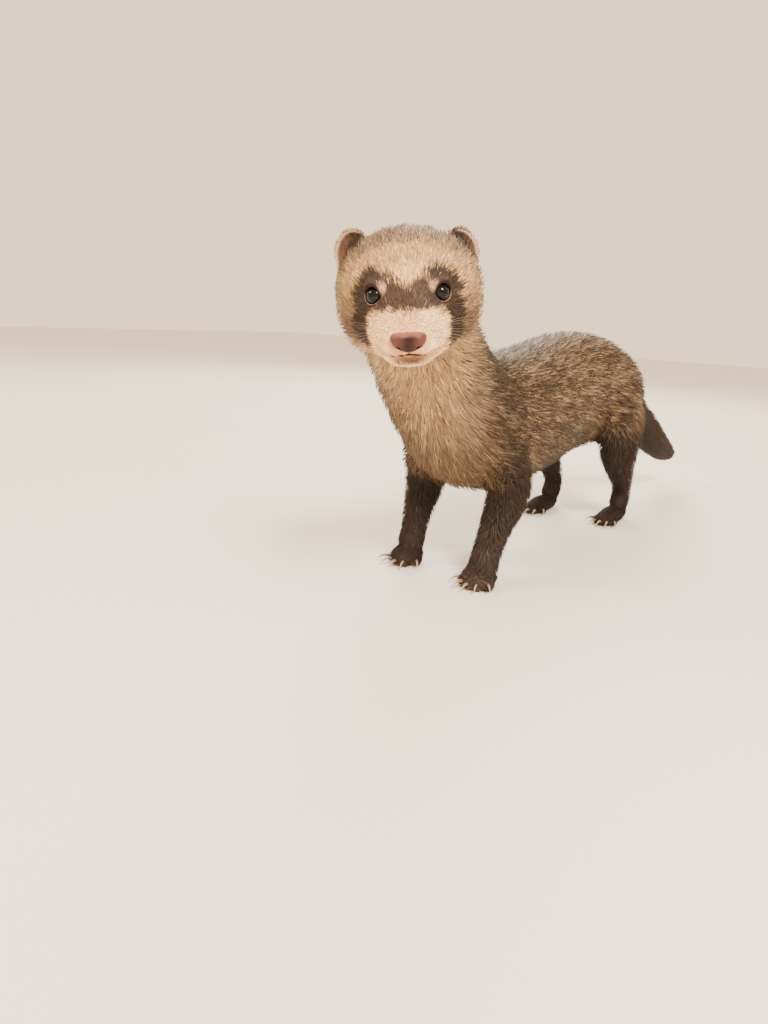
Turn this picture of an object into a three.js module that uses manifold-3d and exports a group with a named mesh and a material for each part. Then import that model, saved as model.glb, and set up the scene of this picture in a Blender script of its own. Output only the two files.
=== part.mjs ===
// A domestic ferret, life size, standing on all fours with its head raised and turned to its left.
// Millimetres, +Z up. The trunk lies along Y with the head towards -Y, and the ferret's left is +X.
// Every outline is the tips of the coat. The head is one sweep. Neck, trunk and tail are another, which
// starts inside the head and is parted by thin cuts.
import * as THREE from "three";
import { mergeVertices } from "three/addons/utils/BufferGeometryUtils.js";
import Module from "manifold-3d";

const wasm = await Module();
wasm.setup();

// Driving dimensions
const GAP = 0.3; // between neighbouring solids
const HEAD_AT = new THREE.Vector3(9, -46, 143); // the joint of skull and neck
const HEAD_YAW = 35; // degrees the face turns to the ferret's left
const HEAD_PITCH = 16; // degrees the muzzle drops
const HEAD_ROLL = 6; // degrees the left eye is the higher one
const EYE_RADIUS = 3.6;
const EYE_AT = new THREE.Vector3(11.4, -43.2, 6.4); // left eye, in the head's own frame
const EYE_LOOKS = new THREE.Vector3(0.6, -0.72, 0.3).normalize(); // the way the left eye faces
const ORBIT_RADIUS = 4.5; // of the hollow in the coat round the eye
const ORBIT_AHEAD = 4.7; // the hollow's middle, ahead of the eye's
const NOSE_AT = new THREE.Vector3(0, -65.2, -4.5);
const NOSE_SIZE = new THREE.Vector3(11.6, 6.4, 8.2);
const MOUTH_HEIGHT = -8.9; // of the mouth line under the nose, in the head's frame
const EAR_AT = new THREE.Vector3(20.8, -9.5, 13.8);
const LEFT_EAR_LAID = new THREE.Vector3(-1.4, 0, -2); // the left ear is laid lower than the right
const EAR_WIDTH = 19;
const EAR_HEIGHT = 22;
const EAR_THICKNESS = 5;
const EAR_CUP = 3.6; // how far the hollow is pressed in
const EAR_CURL = 0.016; // how fast the disc wraps forward at its sides, per millimetre
const EAR_TILT = { back: -12, out: 24, round: 28 }; // degrees the disc leans and turns from facing ahead
const TOES = 5;
const TOE_WIDTH = 5.2;
const TOE_HEIGHT = 6.4;
const TOE_PITCH = 2.55; // from one toe's root to the next
const CLAW_LENGTH = 6.4;
const CLAW_RADIUS = 0.95;
const CLAW_DROP = 2.1; // how far a claw's tip curves down
const STEP = 9; // how far one foot of a pair stands ahead of the other

// Materials
const finish = (color, roughness, metalness = 0) =>
  new THREE.MeshStandardMaterial({ color, roughness, metalness });
const CREAM_FUR = finish(0xd9c7ad, 0.9);
const SABLE_FUR = finish(0x6a5a4e, 0.9);
const DARK_FUR = finish(0x4a3f39, 0.9);
const PINK_SKIN = finish(0xc98d84, 0.55);
const EYE_GLOSS = finish(0x0d0a09, 0.08);
const HORN = finish(0xd8c3ae, 0.4);

// Small helpers
const degrees = THREE.MathUtils.degToRad;
const vec = (x, y, z) => new THREE.Vector3(x, y, z);
const mirror = (v) => vec(-v.x, v.y, v.z);

const headMatrix = new THREE.Matrix4()
  .makeRotationFromEuler(
    new THREE.Euler(degrees(HEAD_PITCH), degrees(-HEAD_ROLL), degrees(HEAD_YAW), "ZXY"),
  )
  .setPosition(HEAD_AT);
const headToWorld = (v) => v.clone().applyMatrix4(headMatrix);
const headUp = vec(0, 0, 1).transformDirection(headMatrix);
const worldUp = vec(0, 0, 1);
const forwards = vec(0, -1, 0);

// A station of a sweep: where its centre is, its half width, and how far it rises and drops from the centre.
// `up` is the direction it rises in. `above` and `below` square off its two halves: 2 is an ellipse.
const station = (at, half, rise, drop, up = worldUp, above = 2, below = above) => ({
  at,
  size: vec(half, rise, drop),
  up,
  square: vec(above, below, 0),
});

// Smooth curves through a row of stations. Parameter t runs from 0 to the last station's number.
class Sweep {
  constructor(stations) {
    const through = (key) =>
      new THREE.CatmullRomCurve3(stations.map((s) => s[key]), false, "catmullrom", 0.5);
    this.last = stations.length - 1;
    this.centre = through("at");
    this.size = through("size");
    this.up = through("up");
    this.square = through("square");
  }

  // One closed ring of `sides` points at t, grown outwards by `grow`.
  ring(t, sides, grow) {
    const s = THREE.MathUtils.clamp(t / this.last, 0, 1);
    const centre = this.centre.getPoint(s);
    const along = this.centre.getTangent(s);
    const { x: half, y: rise, z: drop } = this.size.getPoint(s);
    const square = this.square.getPoint(s);
    const across = along.clone().cross(this.up.getPoint(s)).normalize();
    const up = across.clone().cross(along).normalize();
    const bent = (v, power) => Math.sign(v) * Math.abs(v) ** power;
    return Array.from({ length: sides }, (_, i) => {
      const angle = (2 * Math.PI * (i + 0.5)) / sides;
      const [high, power] = Math.sin(angle) > 0 ? [rise, 2 / square.x] : [drop, 2 / square.y];
      return centre
        .clone()
        .addScaledVector(across, bent(Math.cos(angle), power) * (half + grow))
        .addScaledVector(up, bent(Math.sin(angle), power) * (high + grow));
    });
  }

  // How far t moves for `distance` millimetres along the centre line.
  stepFor(t, distance) {
    const a = this.centre.getPoint(Math.max(0, t - 0.05) / this.last);
    const b = this.centre.getPoint(Math.min(this.last, t + 0.05) / this.last);
    return (0.1 * distance) / a.distanceTo(b);
  }

  // A closed solid from t0 to t1, with flat ends. Grown, it keeps its rings and reaches further at both ends.
  solid(t0, t1, steps, sides, grow = 0) {
    const stops = Array.from({ length: steps + 1 }, (_, i) => t0 + ((t1 - t0) * i) / steps);
    if (grow && t0 > 0) stops.unshift(t0 - this.stepFor(t0, 2 * grow));
    if (grow && t1 < this.last) stops.push(t1 + this.stepFor(t1, 2 * grow));
    return solidOf(ringsGeometry(stops.map((t) => this.ring(t, sides, grow))));
  }
}

// Rings of equal length joined side by side, with a fan over each end.
function ringsGeometry(rings) {
  const sides = rings[0].length;
  const middle = (ring) =>
    ring.reduce((sum, p) => sum.add(p), vec(0, 0, 0)).divideScalar(sides);
  const points = [...rings.flat(), middle(rings[0]), middle(rings.at(-1))];
  const first = rings.length * sides;
  const index = [];
  for (let i = 0; i < sides; i++) {
    const j = (i + 1) % sides;
    for (let r = 0; r + 1 < rings.length; r++) {
      const [a, b] = [r * sides, (r + 1) * sides];
      index.push(a + i, b + j, a + j, a + i, b + i, b + j);
    }
    const end = first - sides;
    index.push(first, i, j, first + 1, end + j, end + i);
  }
  return new THREE.BufferGeometry().setFromPoints(points).setIndex(index);
}

// A closed geometry as a manifold-3d solid, turned to face outwards.
function solidOf(geometry) {
  const bare = geometry.clone();
  bare.deleteAttribute("normal");
  bare.deleteAttribute("uv");
  const merged = mergeVertices(bare, 1e-4);
  const build = (triVerts) =>
    new wasm.Manifold(
      new wasm.Mesh({
        numProp: 3,
        vertProperties: new Float32Array(merged.attributes.position.array),
        triVerts,
      }),
    );
  const triVerts = new Uint32Array(merged.index.array);
  const made = build(triVerts);
  return made.volume() > 0 ? made : build(triVerts.reverse());
}

// An ellipsoid of full sizes `size` about `at`, turned by `turn` (an Euler).
function ellipsoid(at, size, around = 14, down = 8, turn = new THREE.Euler()) {
  const geometry = new THREE.SphereGeometry(0.5, around, down);
  const matrix = new THREE.Matrix4().compose(
    at,
    new THREE.Quaternion().setFromEuler(turn),
    size,
  );
  return solidOf(geometry.applyMatrix4(matrix));
}

// A manifold-3d solid's largest body.
function largest(solid) {
  const bodies = solid.decompose();
  return bodies.reduce((a, b) => (a.volume() > b.volume() ? a : b));
}

const all = (solids) => solids.reduce((a, b) => a.add(b));

const ferret = new THREE.Group();
function addNode(name, solid, material) {
  const mesh = largest(solid).getMesh();
  const geometry = new THREE.BufferGeometry();
  geometry.setAttribute("position", new THREE.BufferAttribute(mesh.vertProperties, 3));
  geometry.setIndex(new THREE.BufferAttribute(mesh.triVerts, 1));
  geometry.computeVertexNormals();
  const made = new THREE.Mesh(geometry, material);
  made.name = name;
  ferret.add(made);
}

// The sweeps of the head and of the body.
// Head stations, in the head's own frame: distance behind the nose, centre height, half width, rise, drop,
// and how squared off it is above and below.
const NOSE_TIP_Y = -68;
const HEAD_STATIONS = [
  [0, -4.6, 2.6, 1.8, 2.0, 2, 2], // nose tip
  [1.6, -4.8, 6.4, 4.2, 4.6, 2.1, 2.1], // nose pad
  [5, -5.2, 9.8, 6.8, 7.8, 2.2, 2.2], // upper lip
  [10, -5.4, 12.6, 9.2, 10.4, 2.2, 2.3], // whisker pads
  [16, -5.2, 13.8, 11.8, 12.2, 2.2, 2.4], // muzzle
  [21, -4.7, 15.6, 14.6, 13.8, 2.2, 2.4], // corner of the mouth
  [26, -3.8, 19.2, 17.6, 16.2, 2.15, 2.4], // eyes
  [31, -2.8, 22.8, 20.6, 19, 2.15, 2.4], // brow
  [38, -1.6, 26, 23.6, 22, 2.2, 2.5], // temples
  [47, -0.8, 28.2, 25.6, 23.6, 2.25, 2.5], // cheeks
  [57, -0.4, 28.4, 25.8, 23.6, 2.15, 2.3], // crown
  [67, -0.8, 25.4, 22.6, 21.6, 2, 2], // back of the skull
  [75, -1.6, 18.5, 15.8, 15, 2, 2],
  [80, -2.2, 7, 6, 6, 2, 2], // nape, inside the neck
];
const headStations = HEAD_STATIONS.map(([back, high, half, rise, drop, above, below]) =>
  station(headToWorld(vec(0, NOSE_TIP_Y + back, high)), half, rise, drop, headUp, above, below),
);
// Neck, trunk and tail stations, in the world: x, y, z, half width, rise, drop.
const NECK_STATIONS = [
  [17, -58, 138, 19, 16, 15], // inside the head
  [9.5, -44, 131.5, 23.5, 22, 21], // under the nape
  [3.5, -25, 117, 25.6, 24.5, 24.5], // middle of the neck
  [0.5, -3, 98, 27.8, 28, 28.5], // base of the neck
];
const TRUNK_STATIONS = [
  [-0.5, 26, 81, 31, 33, 36], // shoulders
  [-1.5, 62, 78, 33, 36, 38], // ribs
  [-3, 102, 82, 33, 37, 38.5], // end of the ribs
  [-3.5, 142, 88.5, 31.8, 37, 38.5], // loin
  [-1.5, 180, 89, 32.5, 35.5, 37.5], // hips
  [2, 212, 84, 28.5, 29, 31], // rump
];
const TAIL_STATIONS = [
  [4.5, 236, 78, 17, 16.5, 18], // tail root
  [6.5, 256, 70, 12.4, 12.2, 12.4],
  [8.5, 282, 56.5, 12.6, 12.4, 12.6], // thickest of the brush
  [10, 308, 43.5, 11.4, 11.2, 11.4],
  [11, 333, 33.5, 9.2, 9, 9.2],
  [11.8, 355, 28, 6.2, 6, 6.2],
  [12.4, 372, 26, 1.2, 1.2, 1.2], // tail tip
];
const worldStations = [...NECK_STATIONS, ...TRUNK_STATIONS, ...TAIL_STATIONS].map(
  ([x, y, z, half, rise, drop]) => station(vec(x, y, z), half, rise, drop),
);
const skull = new Sweep(headStations);
const body = new Sweep(worldStations);
const NECK_BASE = NECK_STATIONS.length - 1;
const RIBS = NECK_BASE + 2.4;
const LOIN = NECK_BASE + 4.3;
const TAIL_ROOT = NECK_BASE + TRUNK_STATIONS.length + 1;

// The lengths that the body's sweep is parted into, each with its rings and its sides.
const LENGTHS = [
  ["neck", 0, NECK_BASE, 8, 20, SABLE_FUR],
  ["chest", NECK_BASE, RIBS, 6, 20, SABLE_FUR],
  ["belly", RIBS, LOIN, 6, 20, SABLE_FUR],
  ["rump", LOIN, TAIL_ROOT, 7, 20, SABLE_FUR],
  ["tail", TAIL_ROOT, body.last, 12, 12, DARK_FUR],
];
const HEAD_STEPS = 24;
const HEAD_SIDES = 22;
const cutLengths = (grow) =>
  LENGTHS.map(([, from, to, steps, sides]) => {
    const start = from ? from + body.stepFor(from, GAP / 2) : 0;
    const end = to === body.last ? to : to - body.stepFor(to, GAP / 2);
    return body.solid(start, end, steps, sides, grow);
  });
const headRoom = skull.solid(0, skull.last, HEAD_STEPS, HEAD_SIDES, GAP);
const bodyRoom = all(cutLengths(GAP)); // what the legs are cut back from
cutLengths(0).forEach((length, i) => {
  const [name, , , , , material] = LENGTHS[i];
  addNode(name, name === "neck" ? length.subtract(headRoom) : length, material);
});

// Eyes, each a ball in a socket.
const sides = [
  ["left", (v) => v],
  ["right", mirror],
];
const ball = (at, radius) => ellipsoid(at, vec(2 * radius, 2 * radius, 2 * radius), 12, 8);
const inHead = (solid) => solid.transform([...headMatrix.elements]);

let head = skull.solid(0, skull.last, HEAD_STEPS, HEAD_SIDES);
for (const [side, place] of sides) {
  const at = place(EYE_AT);
  const orbit = place(EYE_AT.clone().addScaledVector(EYE_LOOKS, ORBIT_AHEAD));
  head = head.subtract(inHead(ball(at, EYE_RADIUS + GAP).add(ball(orbit, ORBIT_RADIUS))));
  addNode(`eye_${side}`, inHead(ball(at, EYE_RADIUS)), EYE_GLOSS);
}

// The bare nose, set into the front of the muzzle.
const nose = inHead(ellipsoid(NOSE_AT, NOSE_SIZE));
const noseRoom = inHead(ellipsoid(NOSE_AT, NOSE_SIZE.clone().addScalar(2 * GAP)));
addNode("nose", nose, PINK_SKIN);
head = head.subtract(noseRoom);

// The lower jaw, parted from the head along the mouth line.
function jawBlock(grow) {
  const [ahead, under, width] = [-75, -30, 60];
  const outline = new THREE.Shape([
    new THREE.Vector2(ahead, MOUTH_HEIGHT + grow),
    new THREE.Vector2(-52, MOUTH_HEIGHT + 1.2 + grow), // the lips' line rises a little
    new THREE.Vector2(-45 + grow, MOUTH_HEIGHT - 1.5 + grow), // corner of the mouth
    new THREE.Vector2(-41 + grow, under),
    new THREE.Vector2(ahead, under),
  ]);
  const block = new THREE.ExtrudeGeometry(outline, { depth: width, bevelEnabled: false });
  // The outline's two axes are the head's Y and Z, and its depth runs across.
  const axes = new THREE.Matrix4().makeBasis(vec(0, 1, 0), vec(0, 0, 1), vec(1, 0, 0));
  return solidOf(block.translate(0, 0, -width / 2).applyMatrix4(axes));
}
addNode("lower_jaw", head.intersect(inHead(jawBlock(0))), CREAM_FUR);
head = head.subtract(inHead(jawBlock(GAP)));
addNode("head", head, CREAM_FUR);

// An ear: a rounded disc, cupped in front, whose base is sunk in the head.
function ear(place, laid) {
  const geometry = new THREE.SphereGeometry(0.5, 16, 9).rotateX(Math.PI / 2);
  const p = geometry.attributes.position;
  for (let i = 0; i < p.count; i++) {
    const [x, thick, z] = [p.getX(i) * EAR_WIDTH, p.getY(i), p.getZ(i) * EAR_HEIGHT];
    const rim = Math.min(1, Math.hypot(p.getX(i), p.getZ(i)) * 2);
    const press = thick < 0 ? EAR_CUP * (1 - rim ** 2) : 0;
    p.setXYZ(i, x, thick * EAR_THICKNESS + press - EAR_CURL * x * x, z);
  }
  const at = place(EAR_AT.clone().add(laid));
  const out = Math.sign(at.x);
  const turn = new THREE.Euler(
    degrees(EAR_TILT.back),
    degrees(out * EAR_TILT.out),
    degrees(out * EAR_TILT.round),
    "ZXY",
  );
  return inHead(
    solidOf(geometry.applyMatrix4(new THREE.Matrix4().makeRotationFromEuler(turn).setPosition(at))),
  );
}
for (const [side, place] of sides) {
  const laid = side === "left" ? LEFT_EAR_LAID : vec(0, 0, 0);
  addNode(`ear_${side}`, ear(place, laid).subtract(headRoom).subtract(bodyRoom), SABLE_FUR);
}

// Legs. Each is a sweep down from inside the trunk, with a paw of five toes, each with its claw.
// A leg's stations, from the foot's own point on the floor: x out, y back, z up, half width, front, rear.
const FORE = {
  at: vec(23.5, 14, 0),
  leg: [
    [-4, 12, 80, 10, 16, 17], // shoulder
    [-1.2, 17, 60, 13.2, 17, 16], // upper arm
    [1.4, 18, 45, 11.6, 12.5, 14], // elbow
    [0.8, 11, 31, 9.2, 9, 9.8], // forearm
    [0, 5.5, 18.5, 7.6, 7, 7.6], // wrist
    [0, 3, 10, 7.6, 7.4, 7.2], // into the paw
  ],
  paw: { size: vec(17.5, 21, 12.5), at: vec(0, 0, 5), toe: 10.5, reach: 7.6, spread: 15 },
};
const HIND = {
  at: vec(24.5, 176, 0),
  leg: [
    [-6, 10, 95, 12, 23, 22], // hip
    [0, 8, 77, 15, 25, 24], // thigh
    [3, 2, 58, 14, 20, 22], // knee
    [2, 8, 42, 10.8, 13.4, 14], // shank
    [1, 19, 30, 8, 9, 9], // above the hock
    [0, 24.5, 18, 6.8, 7.8, 7.8], // hock
    [0, 20, 9, 6.6, 7, 7], // into the foot
  ],
  paw: { size: vec(15.5, 42, 12), at: vec(0, 10, 4.8), toe: 11, reach: 7.2, spread: 12 },
};
const LEG_STEPS = 10;
const LEG_SIDES = 12;
const FLOOR_DEPTH = 20;
const floor = solidOf(
  new THREE.BoxGeometry(400, 900, FLOOR_DEPTH).translate(0, 100, -FLOOR_DEPTH / 2),
);

// A toe's place and heading in the paw: the middle toes reach furthest and the inner one is set back.
function toePose(limb, out, i) {
  const lane = i - (TOES - 1) / 2;
  const angle = degrees(lane * limb.paw.spread) * out;
  const setBack = 1.15 * lane * lane + (i === 0 ? 2.2 : 0);
  const front = limb.paw.at.y - limb.paw.size.y / 2 + limb.paw.reach;
  const heading = vec(Math.sin(angle), -Math.cos(angle), 0);
  const root = vec(out * lane * TOE_PITCH, front + setBack, TOE_HEIGHT / 2 - 0.5);
  return { heading, angle, centre: root.addScaledVector(heading, limb.paw.toe * 0.42) };
}

function paw(limb, out, grow) {
  const { size, at } = limb.paw;
  const more = vec(2 * grow, 2 * grow, 2 * grow);
  const solids = [ellipsoid(at, size.clone().add(more), 10, 6)];
  for (let i = 0; i < TOES; i++) {
    const { centre, angle } = toePose(limb, out, i);
    const toeSize = vec(TOE_WIDTH, limb.paw.toe, TOE_HEIGHT).add(more);
    solids.push(ellipsoid(centre, toeSize, 6, 4, new THREE.Euler(0, 0, angle)));
  }
  return all(solids);
}

function claw(limb, out, i) {
  const { centre, heading } = toePose(limb, out, i);
  const arc = [0.18, 0.62, 1].map((far) => {
    const along = heading.clone().multiplyScalar(limb.paw.toe * 0.36 + CLAW_LENGTH * far);
    const high = TOE_HEIGHT / 2 + 0.2 - CLAW_DROP * far * far;
    const radius = CLAW_RADIUS * (1.12 - 0.84 * far);
    return station(centre.clone().add(along).setZ(high), radius, radius * 1.3, radius);
  });
  return new Sweep(arc).solid(0, 2, 2, 5);
}

function addLimb(name, limb, side, place, shift) {
  const out = place(vec(1, 0, 0)).x;
  const foot = place(limb.at).add(vec(0, shift, 0));
  const move = (solid) => solid.translate([foot.x, foot.y, foot.z]);
  const stations = limb.leg.map(([x, y, z, half, front, rear]) => {
    const settle = 1 - z / limb.leg[0][2]; // a shifted foot leaves the shoulder or hip in place
    return station(vec(x * out, y - shift * (1 - settle), z), half, front, rear, forwards);
  });
  const leg = move(new Sweep(stations).solid(0, stations.length - 1, LEG_STEPS, LEG_SIDES));
  const room = move(paw(limb, out, GAP));
  addNode(`${name}_leg_${side}`, leg.subtract(bodyRoom).subtract(room), SABLE_FUR);
  addNode(`${name}_paw_${side}`, move(paw(limb, out, 0)).subtract(floor), DARK_FUR);
  for (let i = 0; i < TOES; i++) {
    addNode(`${name}_claw_${side}_${i + 1}`, move(claw(limb, out, i)).subtract(room), HORN);
  }
}
for (const [side, place] of sides) {
  const forward = side === "left" ? -STEP / 2 : STEP / 2;
  addLimb("fore", FORE, side, place, forward);
  addLimb("hind", HIND, side, place, -1.6 * forward);
}

// The origin is on the floor under the middle of the whole animal's box.
const box = new THREE.Box3().setFromObject(ferret);
const middle = box.getCenter(vec(0, 0, 0));
ferret.position.set(-middle.x, -middle.y, 0);

export default ferret;
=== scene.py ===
"""A life-size sable ferret standing on all fours, its head raised and turned to its left.

One skin stands for every node of flesh. It is the zero surface of a distance field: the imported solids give
the coat's outline, and the skin lies inside that by the coat's depth. Eyes, nose and claws are pieces of
their own. The coat is solid tufts that are rooted on the skin, lie along the body and end at the outline.
Lengths are in millimetres until a mesh is made, and Blender's own are in metres.
"""
import math
from itertools import product

import bpy
import numpy as np
import openvdb
from mathutils import Matrix, Vector


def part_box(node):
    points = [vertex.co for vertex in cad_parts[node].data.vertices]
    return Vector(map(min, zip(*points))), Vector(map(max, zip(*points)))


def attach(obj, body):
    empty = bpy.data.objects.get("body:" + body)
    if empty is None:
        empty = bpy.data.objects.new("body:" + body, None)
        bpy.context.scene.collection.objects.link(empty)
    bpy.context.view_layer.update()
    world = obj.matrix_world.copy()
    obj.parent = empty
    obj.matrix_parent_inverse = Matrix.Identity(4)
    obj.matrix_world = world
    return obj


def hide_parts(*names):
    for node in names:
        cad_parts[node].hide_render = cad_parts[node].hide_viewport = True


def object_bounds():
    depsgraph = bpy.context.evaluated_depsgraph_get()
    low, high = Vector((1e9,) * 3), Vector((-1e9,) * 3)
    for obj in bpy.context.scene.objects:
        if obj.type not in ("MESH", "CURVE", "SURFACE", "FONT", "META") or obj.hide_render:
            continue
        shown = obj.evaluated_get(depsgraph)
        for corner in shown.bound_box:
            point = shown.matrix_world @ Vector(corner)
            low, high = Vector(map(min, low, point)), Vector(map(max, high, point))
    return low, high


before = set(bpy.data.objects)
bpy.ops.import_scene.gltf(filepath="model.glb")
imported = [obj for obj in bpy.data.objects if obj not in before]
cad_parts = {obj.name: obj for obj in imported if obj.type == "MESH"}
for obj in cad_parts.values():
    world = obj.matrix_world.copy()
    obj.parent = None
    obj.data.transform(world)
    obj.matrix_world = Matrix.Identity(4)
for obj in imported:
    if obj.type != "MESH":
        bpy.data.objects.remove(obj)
cad_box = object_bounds()

MM = 0.001
SEED = 11
rng = np.random.default_rng(SEED)

# The head's own frame: x to the left, y to the back, z up
HEAD_YAW = 35.0
HEAD_PITCH = 16.0
HEAD_ROLL = 6.0
EYE_AT = np.array([11.4, -43.2, 6.4])
EYE_LOOKS = np.array([0.53, -0.78, 0.3])
EYE_RADIUS = 3.6
NOSE_TIP_Y = -68.0
NOSE_AT = np.array([0.0, -65.2, -4.0])
NOSE_SIZE = np.array([12.4, 6.4, 7.6])
MOUTH_HEIGHT = -8.1
MOUTH_CORNER_Y = -47.0
EAR_AT = np.array([20.8, -9.5, 13.8])
EAR_TURNS = (28, -12, 24)  # degrees about z, x and y
LEFT_EAR_LAID = np.array([-1.4, 0.0, -2.0])
EAR_WIDTH = 19.0
EAR_HEIGHT = 22.0
EAR_CURL = 0.016
EARS_FROM_Y = -30.0  # nothing in front of this is an ear

FLESH = ["head", "lower_jaw", "nose", "neck", "chest", "belly", "rump", "tail"]
SIDES = {"left": 1.0, "right": -1.0}
LEGS = [f"{pair}_leg_{side}" for pair in ("fore", "hind") for side in SIDES]
PAWS = [f"{pair}_paw_{side}" for pair in ("fore", "hind") for side in SIDES]
EARS = [f"ear_{side}" for side in SIDES]


# Numbers on whole arrays of points
def smooth_step(low, high, value):
    t = np.clip((value - low) / (high - low), 0, 1)
    return t * t * (3 - 2 * t)


def smooth_min(a, b, reach):
    """The lesser of two fields, with the corner between them rounded over `reach`."""
    h = np.clip(0.5 + 0.5 * (b - a) / reach, 0, 1)
    return b + (a - b) * h - reach * h * (1 - h)


def smooth_max(a, b, reach):
    return -smooth_min(-a, -b, reach)


def unit(v):
    return v / np.maximum(np.linalg.norm(v, axis=-1, keepdims=True), 1e-9)


def ball(p, at, radii):
    """Roughly the distance to an ellipsoid, negative inside."""
    radii = np.broadcast_to(np.asarray(radii, float), (3,))
    return (np.linalg.norm((p - at) / radii, axis=-1) - 1) * radii.min()


def capsule(p, a, b, ra, rb):
    """Roughly the distance to a thick line from a to b whose radius goes from ra to rb."""
    a, b = np.array(a, float), np.array(b, float)
    t = np.clip((p - a) @ (b - a) / ((b - a) @ (b - a)), 0, 1)
    return np.linalg.norm(p - a - t[:, None] * (b - a), axis=1) - (ra + (rb - ra) * t)


CELL_CORNERS = list(product((0, 1), repeat=3))


def corner_weight(f, corner):
    """How much one corner of a grid cell counts at places `f` within the cell."""
    x, y, z = (np.abs(1 - d - f[:, axis]) for axis, d in enumerate(corner))
    return x * y * z


def hashed(i, j, k, seed):
    """A number from -1 to 1 that looks random but depends only on the four given."""
    n = (i * 374761393 + j * 668265263 + k * 2147483647 + seed * 1274126177) & 0xFFFFFFFF
    n = ((n ^ (n >> 13)) * 1103515245) & 0xFFFFFFFF
    return ((n ^ (n >> 16)) & 0xFFFF) / 32767.5 - 1


def noise(p, size, seed):
    """Smooth noise from -1 to 1 whose lumps are about `size` across."""
    q = p / size
    i = np.floor(q).astype(np.int64)
    f = q - i
    f = f * f * (3 - 2 * f)
    total = np.zeros(len(p))
    for corner in CELL_CORNERS:
        total += corner_weight(f, corner) * hashed(*(i + corner).T, seed)
    return total


def noises(p, size, first_seed):
    """Three noises side by side, as a vector at each point."""
    return np.stack([noise(p, size, first_seed + axis) for axis in range(3)], 1)


def box_centre(node):
    low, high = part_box(node)
    return np.array(low + high) / 2 / MM


HEAD_TURN = np.array(
    Matrix.Rotation(math.radians(HEAD_YAW), 3, "Z")
    @ Matrix.Rotation(math.radians(HEAD_PITCH), 3, "X")
    @ Matrix.Rotation(math.radians(-HEAD_ROLL), 3, "Y")
)
EYES_MIDDLE = (box_centre("eye_left") + box_centre("eye_right")) / 2
HEAD_ORIGIN = EYES_MIDDLE - HEAD_TURN @ (EYE_AT * [0, 1, 1])


def to_head(p):
    return (p - HEAD_ORIGIN) @ HEAD_TURN


def from_head(q):
    return q @ HEAD_TURN.T + HEAD_ORIGIN


def mirrored(v, side):
    return np.array(v) * [SIDES[side], 1, 1]


# Camera: the photo's view of the face, at the head's own height
FRAME_WIDE = 768
FRAME_HIGH = 1024
FOCAL_PX = 768.0
SENSOR = 36.0
CAMERA_TURN = 35.6  # degrees round from straight ahead, to the ferret's left
CAMERA_TILT = 14.4  # degrees down
CAMERA_ROLL = 3.1
CAMERA_AWAY = 276.0  # from the eyes, along the view
EYES_PX = (407.8, 294.5)  # where the point between the eyes shows in the frame


def add_camera():
    turn, tilt, roll = (math.radians(a) for a in (CAMERA_TURN, CAMERA_TILT, CAMERA_ROLL))
    ahead = Vector((-math.sin(turn) * math.cos(tilt), math.cos(turn) * math.cos(tilt), -math.sin(tilt)))
    level = Vector((math.cos(turn), math.sin(turn), 0))
    above = level.cross(ahead)
    right = level * math.cos(roll) + above * math.sin(roll)
    up = above * math.cos(roll) - level * math.sin(roll)
    off_right = (EYES_PX[0] - FRAME_WIDE / 2) / FOCAL_PX * CAMERA_AWAY
    off_up = (FRAME_HIGH / 2 - EYES_PX[1]) / FOCAL_PX * CAMERA_AWAY
    place = Vector(EYES_MIDDLE) - right * off_right - up * off_up - ahead * CAMERA_AWAY
    data = bpy.data.cameras.new("camera")
    data.sensor_width = SENSOR
    data.lens = SENSOR * FOCAL_PX / FRAME_HIGH
    data.clip_start = 0.01
    camera = bpy.data.objects.new("camera", data)
    camera.matrix_world = Matrix((right, up, -ahead)).transposed().to_4x4()
    camera.matrix_world.translation = place * MM
    bpy.context.scene.collection.objects.link(camera)
    bpy.context.scene.camera = camera


add_camera()


# Distance fields
class Field:
    """A number at each point of a regular grid, read between the points."""

    def __init__(self, values, low, step):
        self.values = values
        self.low = np.asarray(low, float)
        self.step = step

    def cells(self, places, count):
        """The grid cell that each place is in, and how far along the cell it is."""
        q = np.clip(places, 0, count - 1.001)
        i = q.astype(np.int64)
        return i, (q - i).astype(np.float32)

    def at(self, p):
        size = np.array(self.values.shape)
        i, f = self.cells((p - self.low) / self.step, size)
        flat = self.values.ravel()
        base = (i[:, 0] * size[1] + i[:, 1]) * size[2] + i[:, 2]
        total = np.zeros(len(p), np.float32)
        for corner in CELL_CORNERS:
            dx, dy, dz = corner
            total += corner_weight(f, corner) * flat[base + (dx * size[1] + dy) * size[2] + dz]
        return total

    def slope(self, p):
        """The way that the field grows, as a unit vector."""
        out = np.empty((len(p), 3))
        for axis, move in enumerate(np.eye(3) * self.step):
            out[:, axis] = self.at(p + move) - self.at(p - move)
        return unit(out)

    def on(self, grid_lines):
        """The field on another grid, given by its lines along each axis."""
        values = self.values
        for axis, lines in enumerate(grid_lines):
            i, f = self.cells((lines - self.low[axis]) / self.step, values.shape[axis])
            f = f.reshape([-1 if a == axis else 1 for a in range(3)])
            values = np.take(values, i, axis) * (1 - f) + np.take(values, i + 1, axis) * f
        return values


def node_triangles(node):
    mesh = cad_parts[node].data
    mesh.calc_loop_triangles()
    points = np.empty(len(mesh.vertices) * 3, np.float32)
    mesh.vertices.foreach_get("co", points)
    corners = np.empty(len(mesh.loop_triangles) * 3, np.int32)
    mesh.loop_triangles.foreach_get("vertices", corners)
    return points.reshape(-1, 3) / MM, corners.reshape(-1, 3).astype(np.uint32)


SEAL = 0.35  # closes the thin cuts between neighbouring solids
NARROW = 3  # grid steps each side of a surface that a narrow band of distances holds


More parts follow.
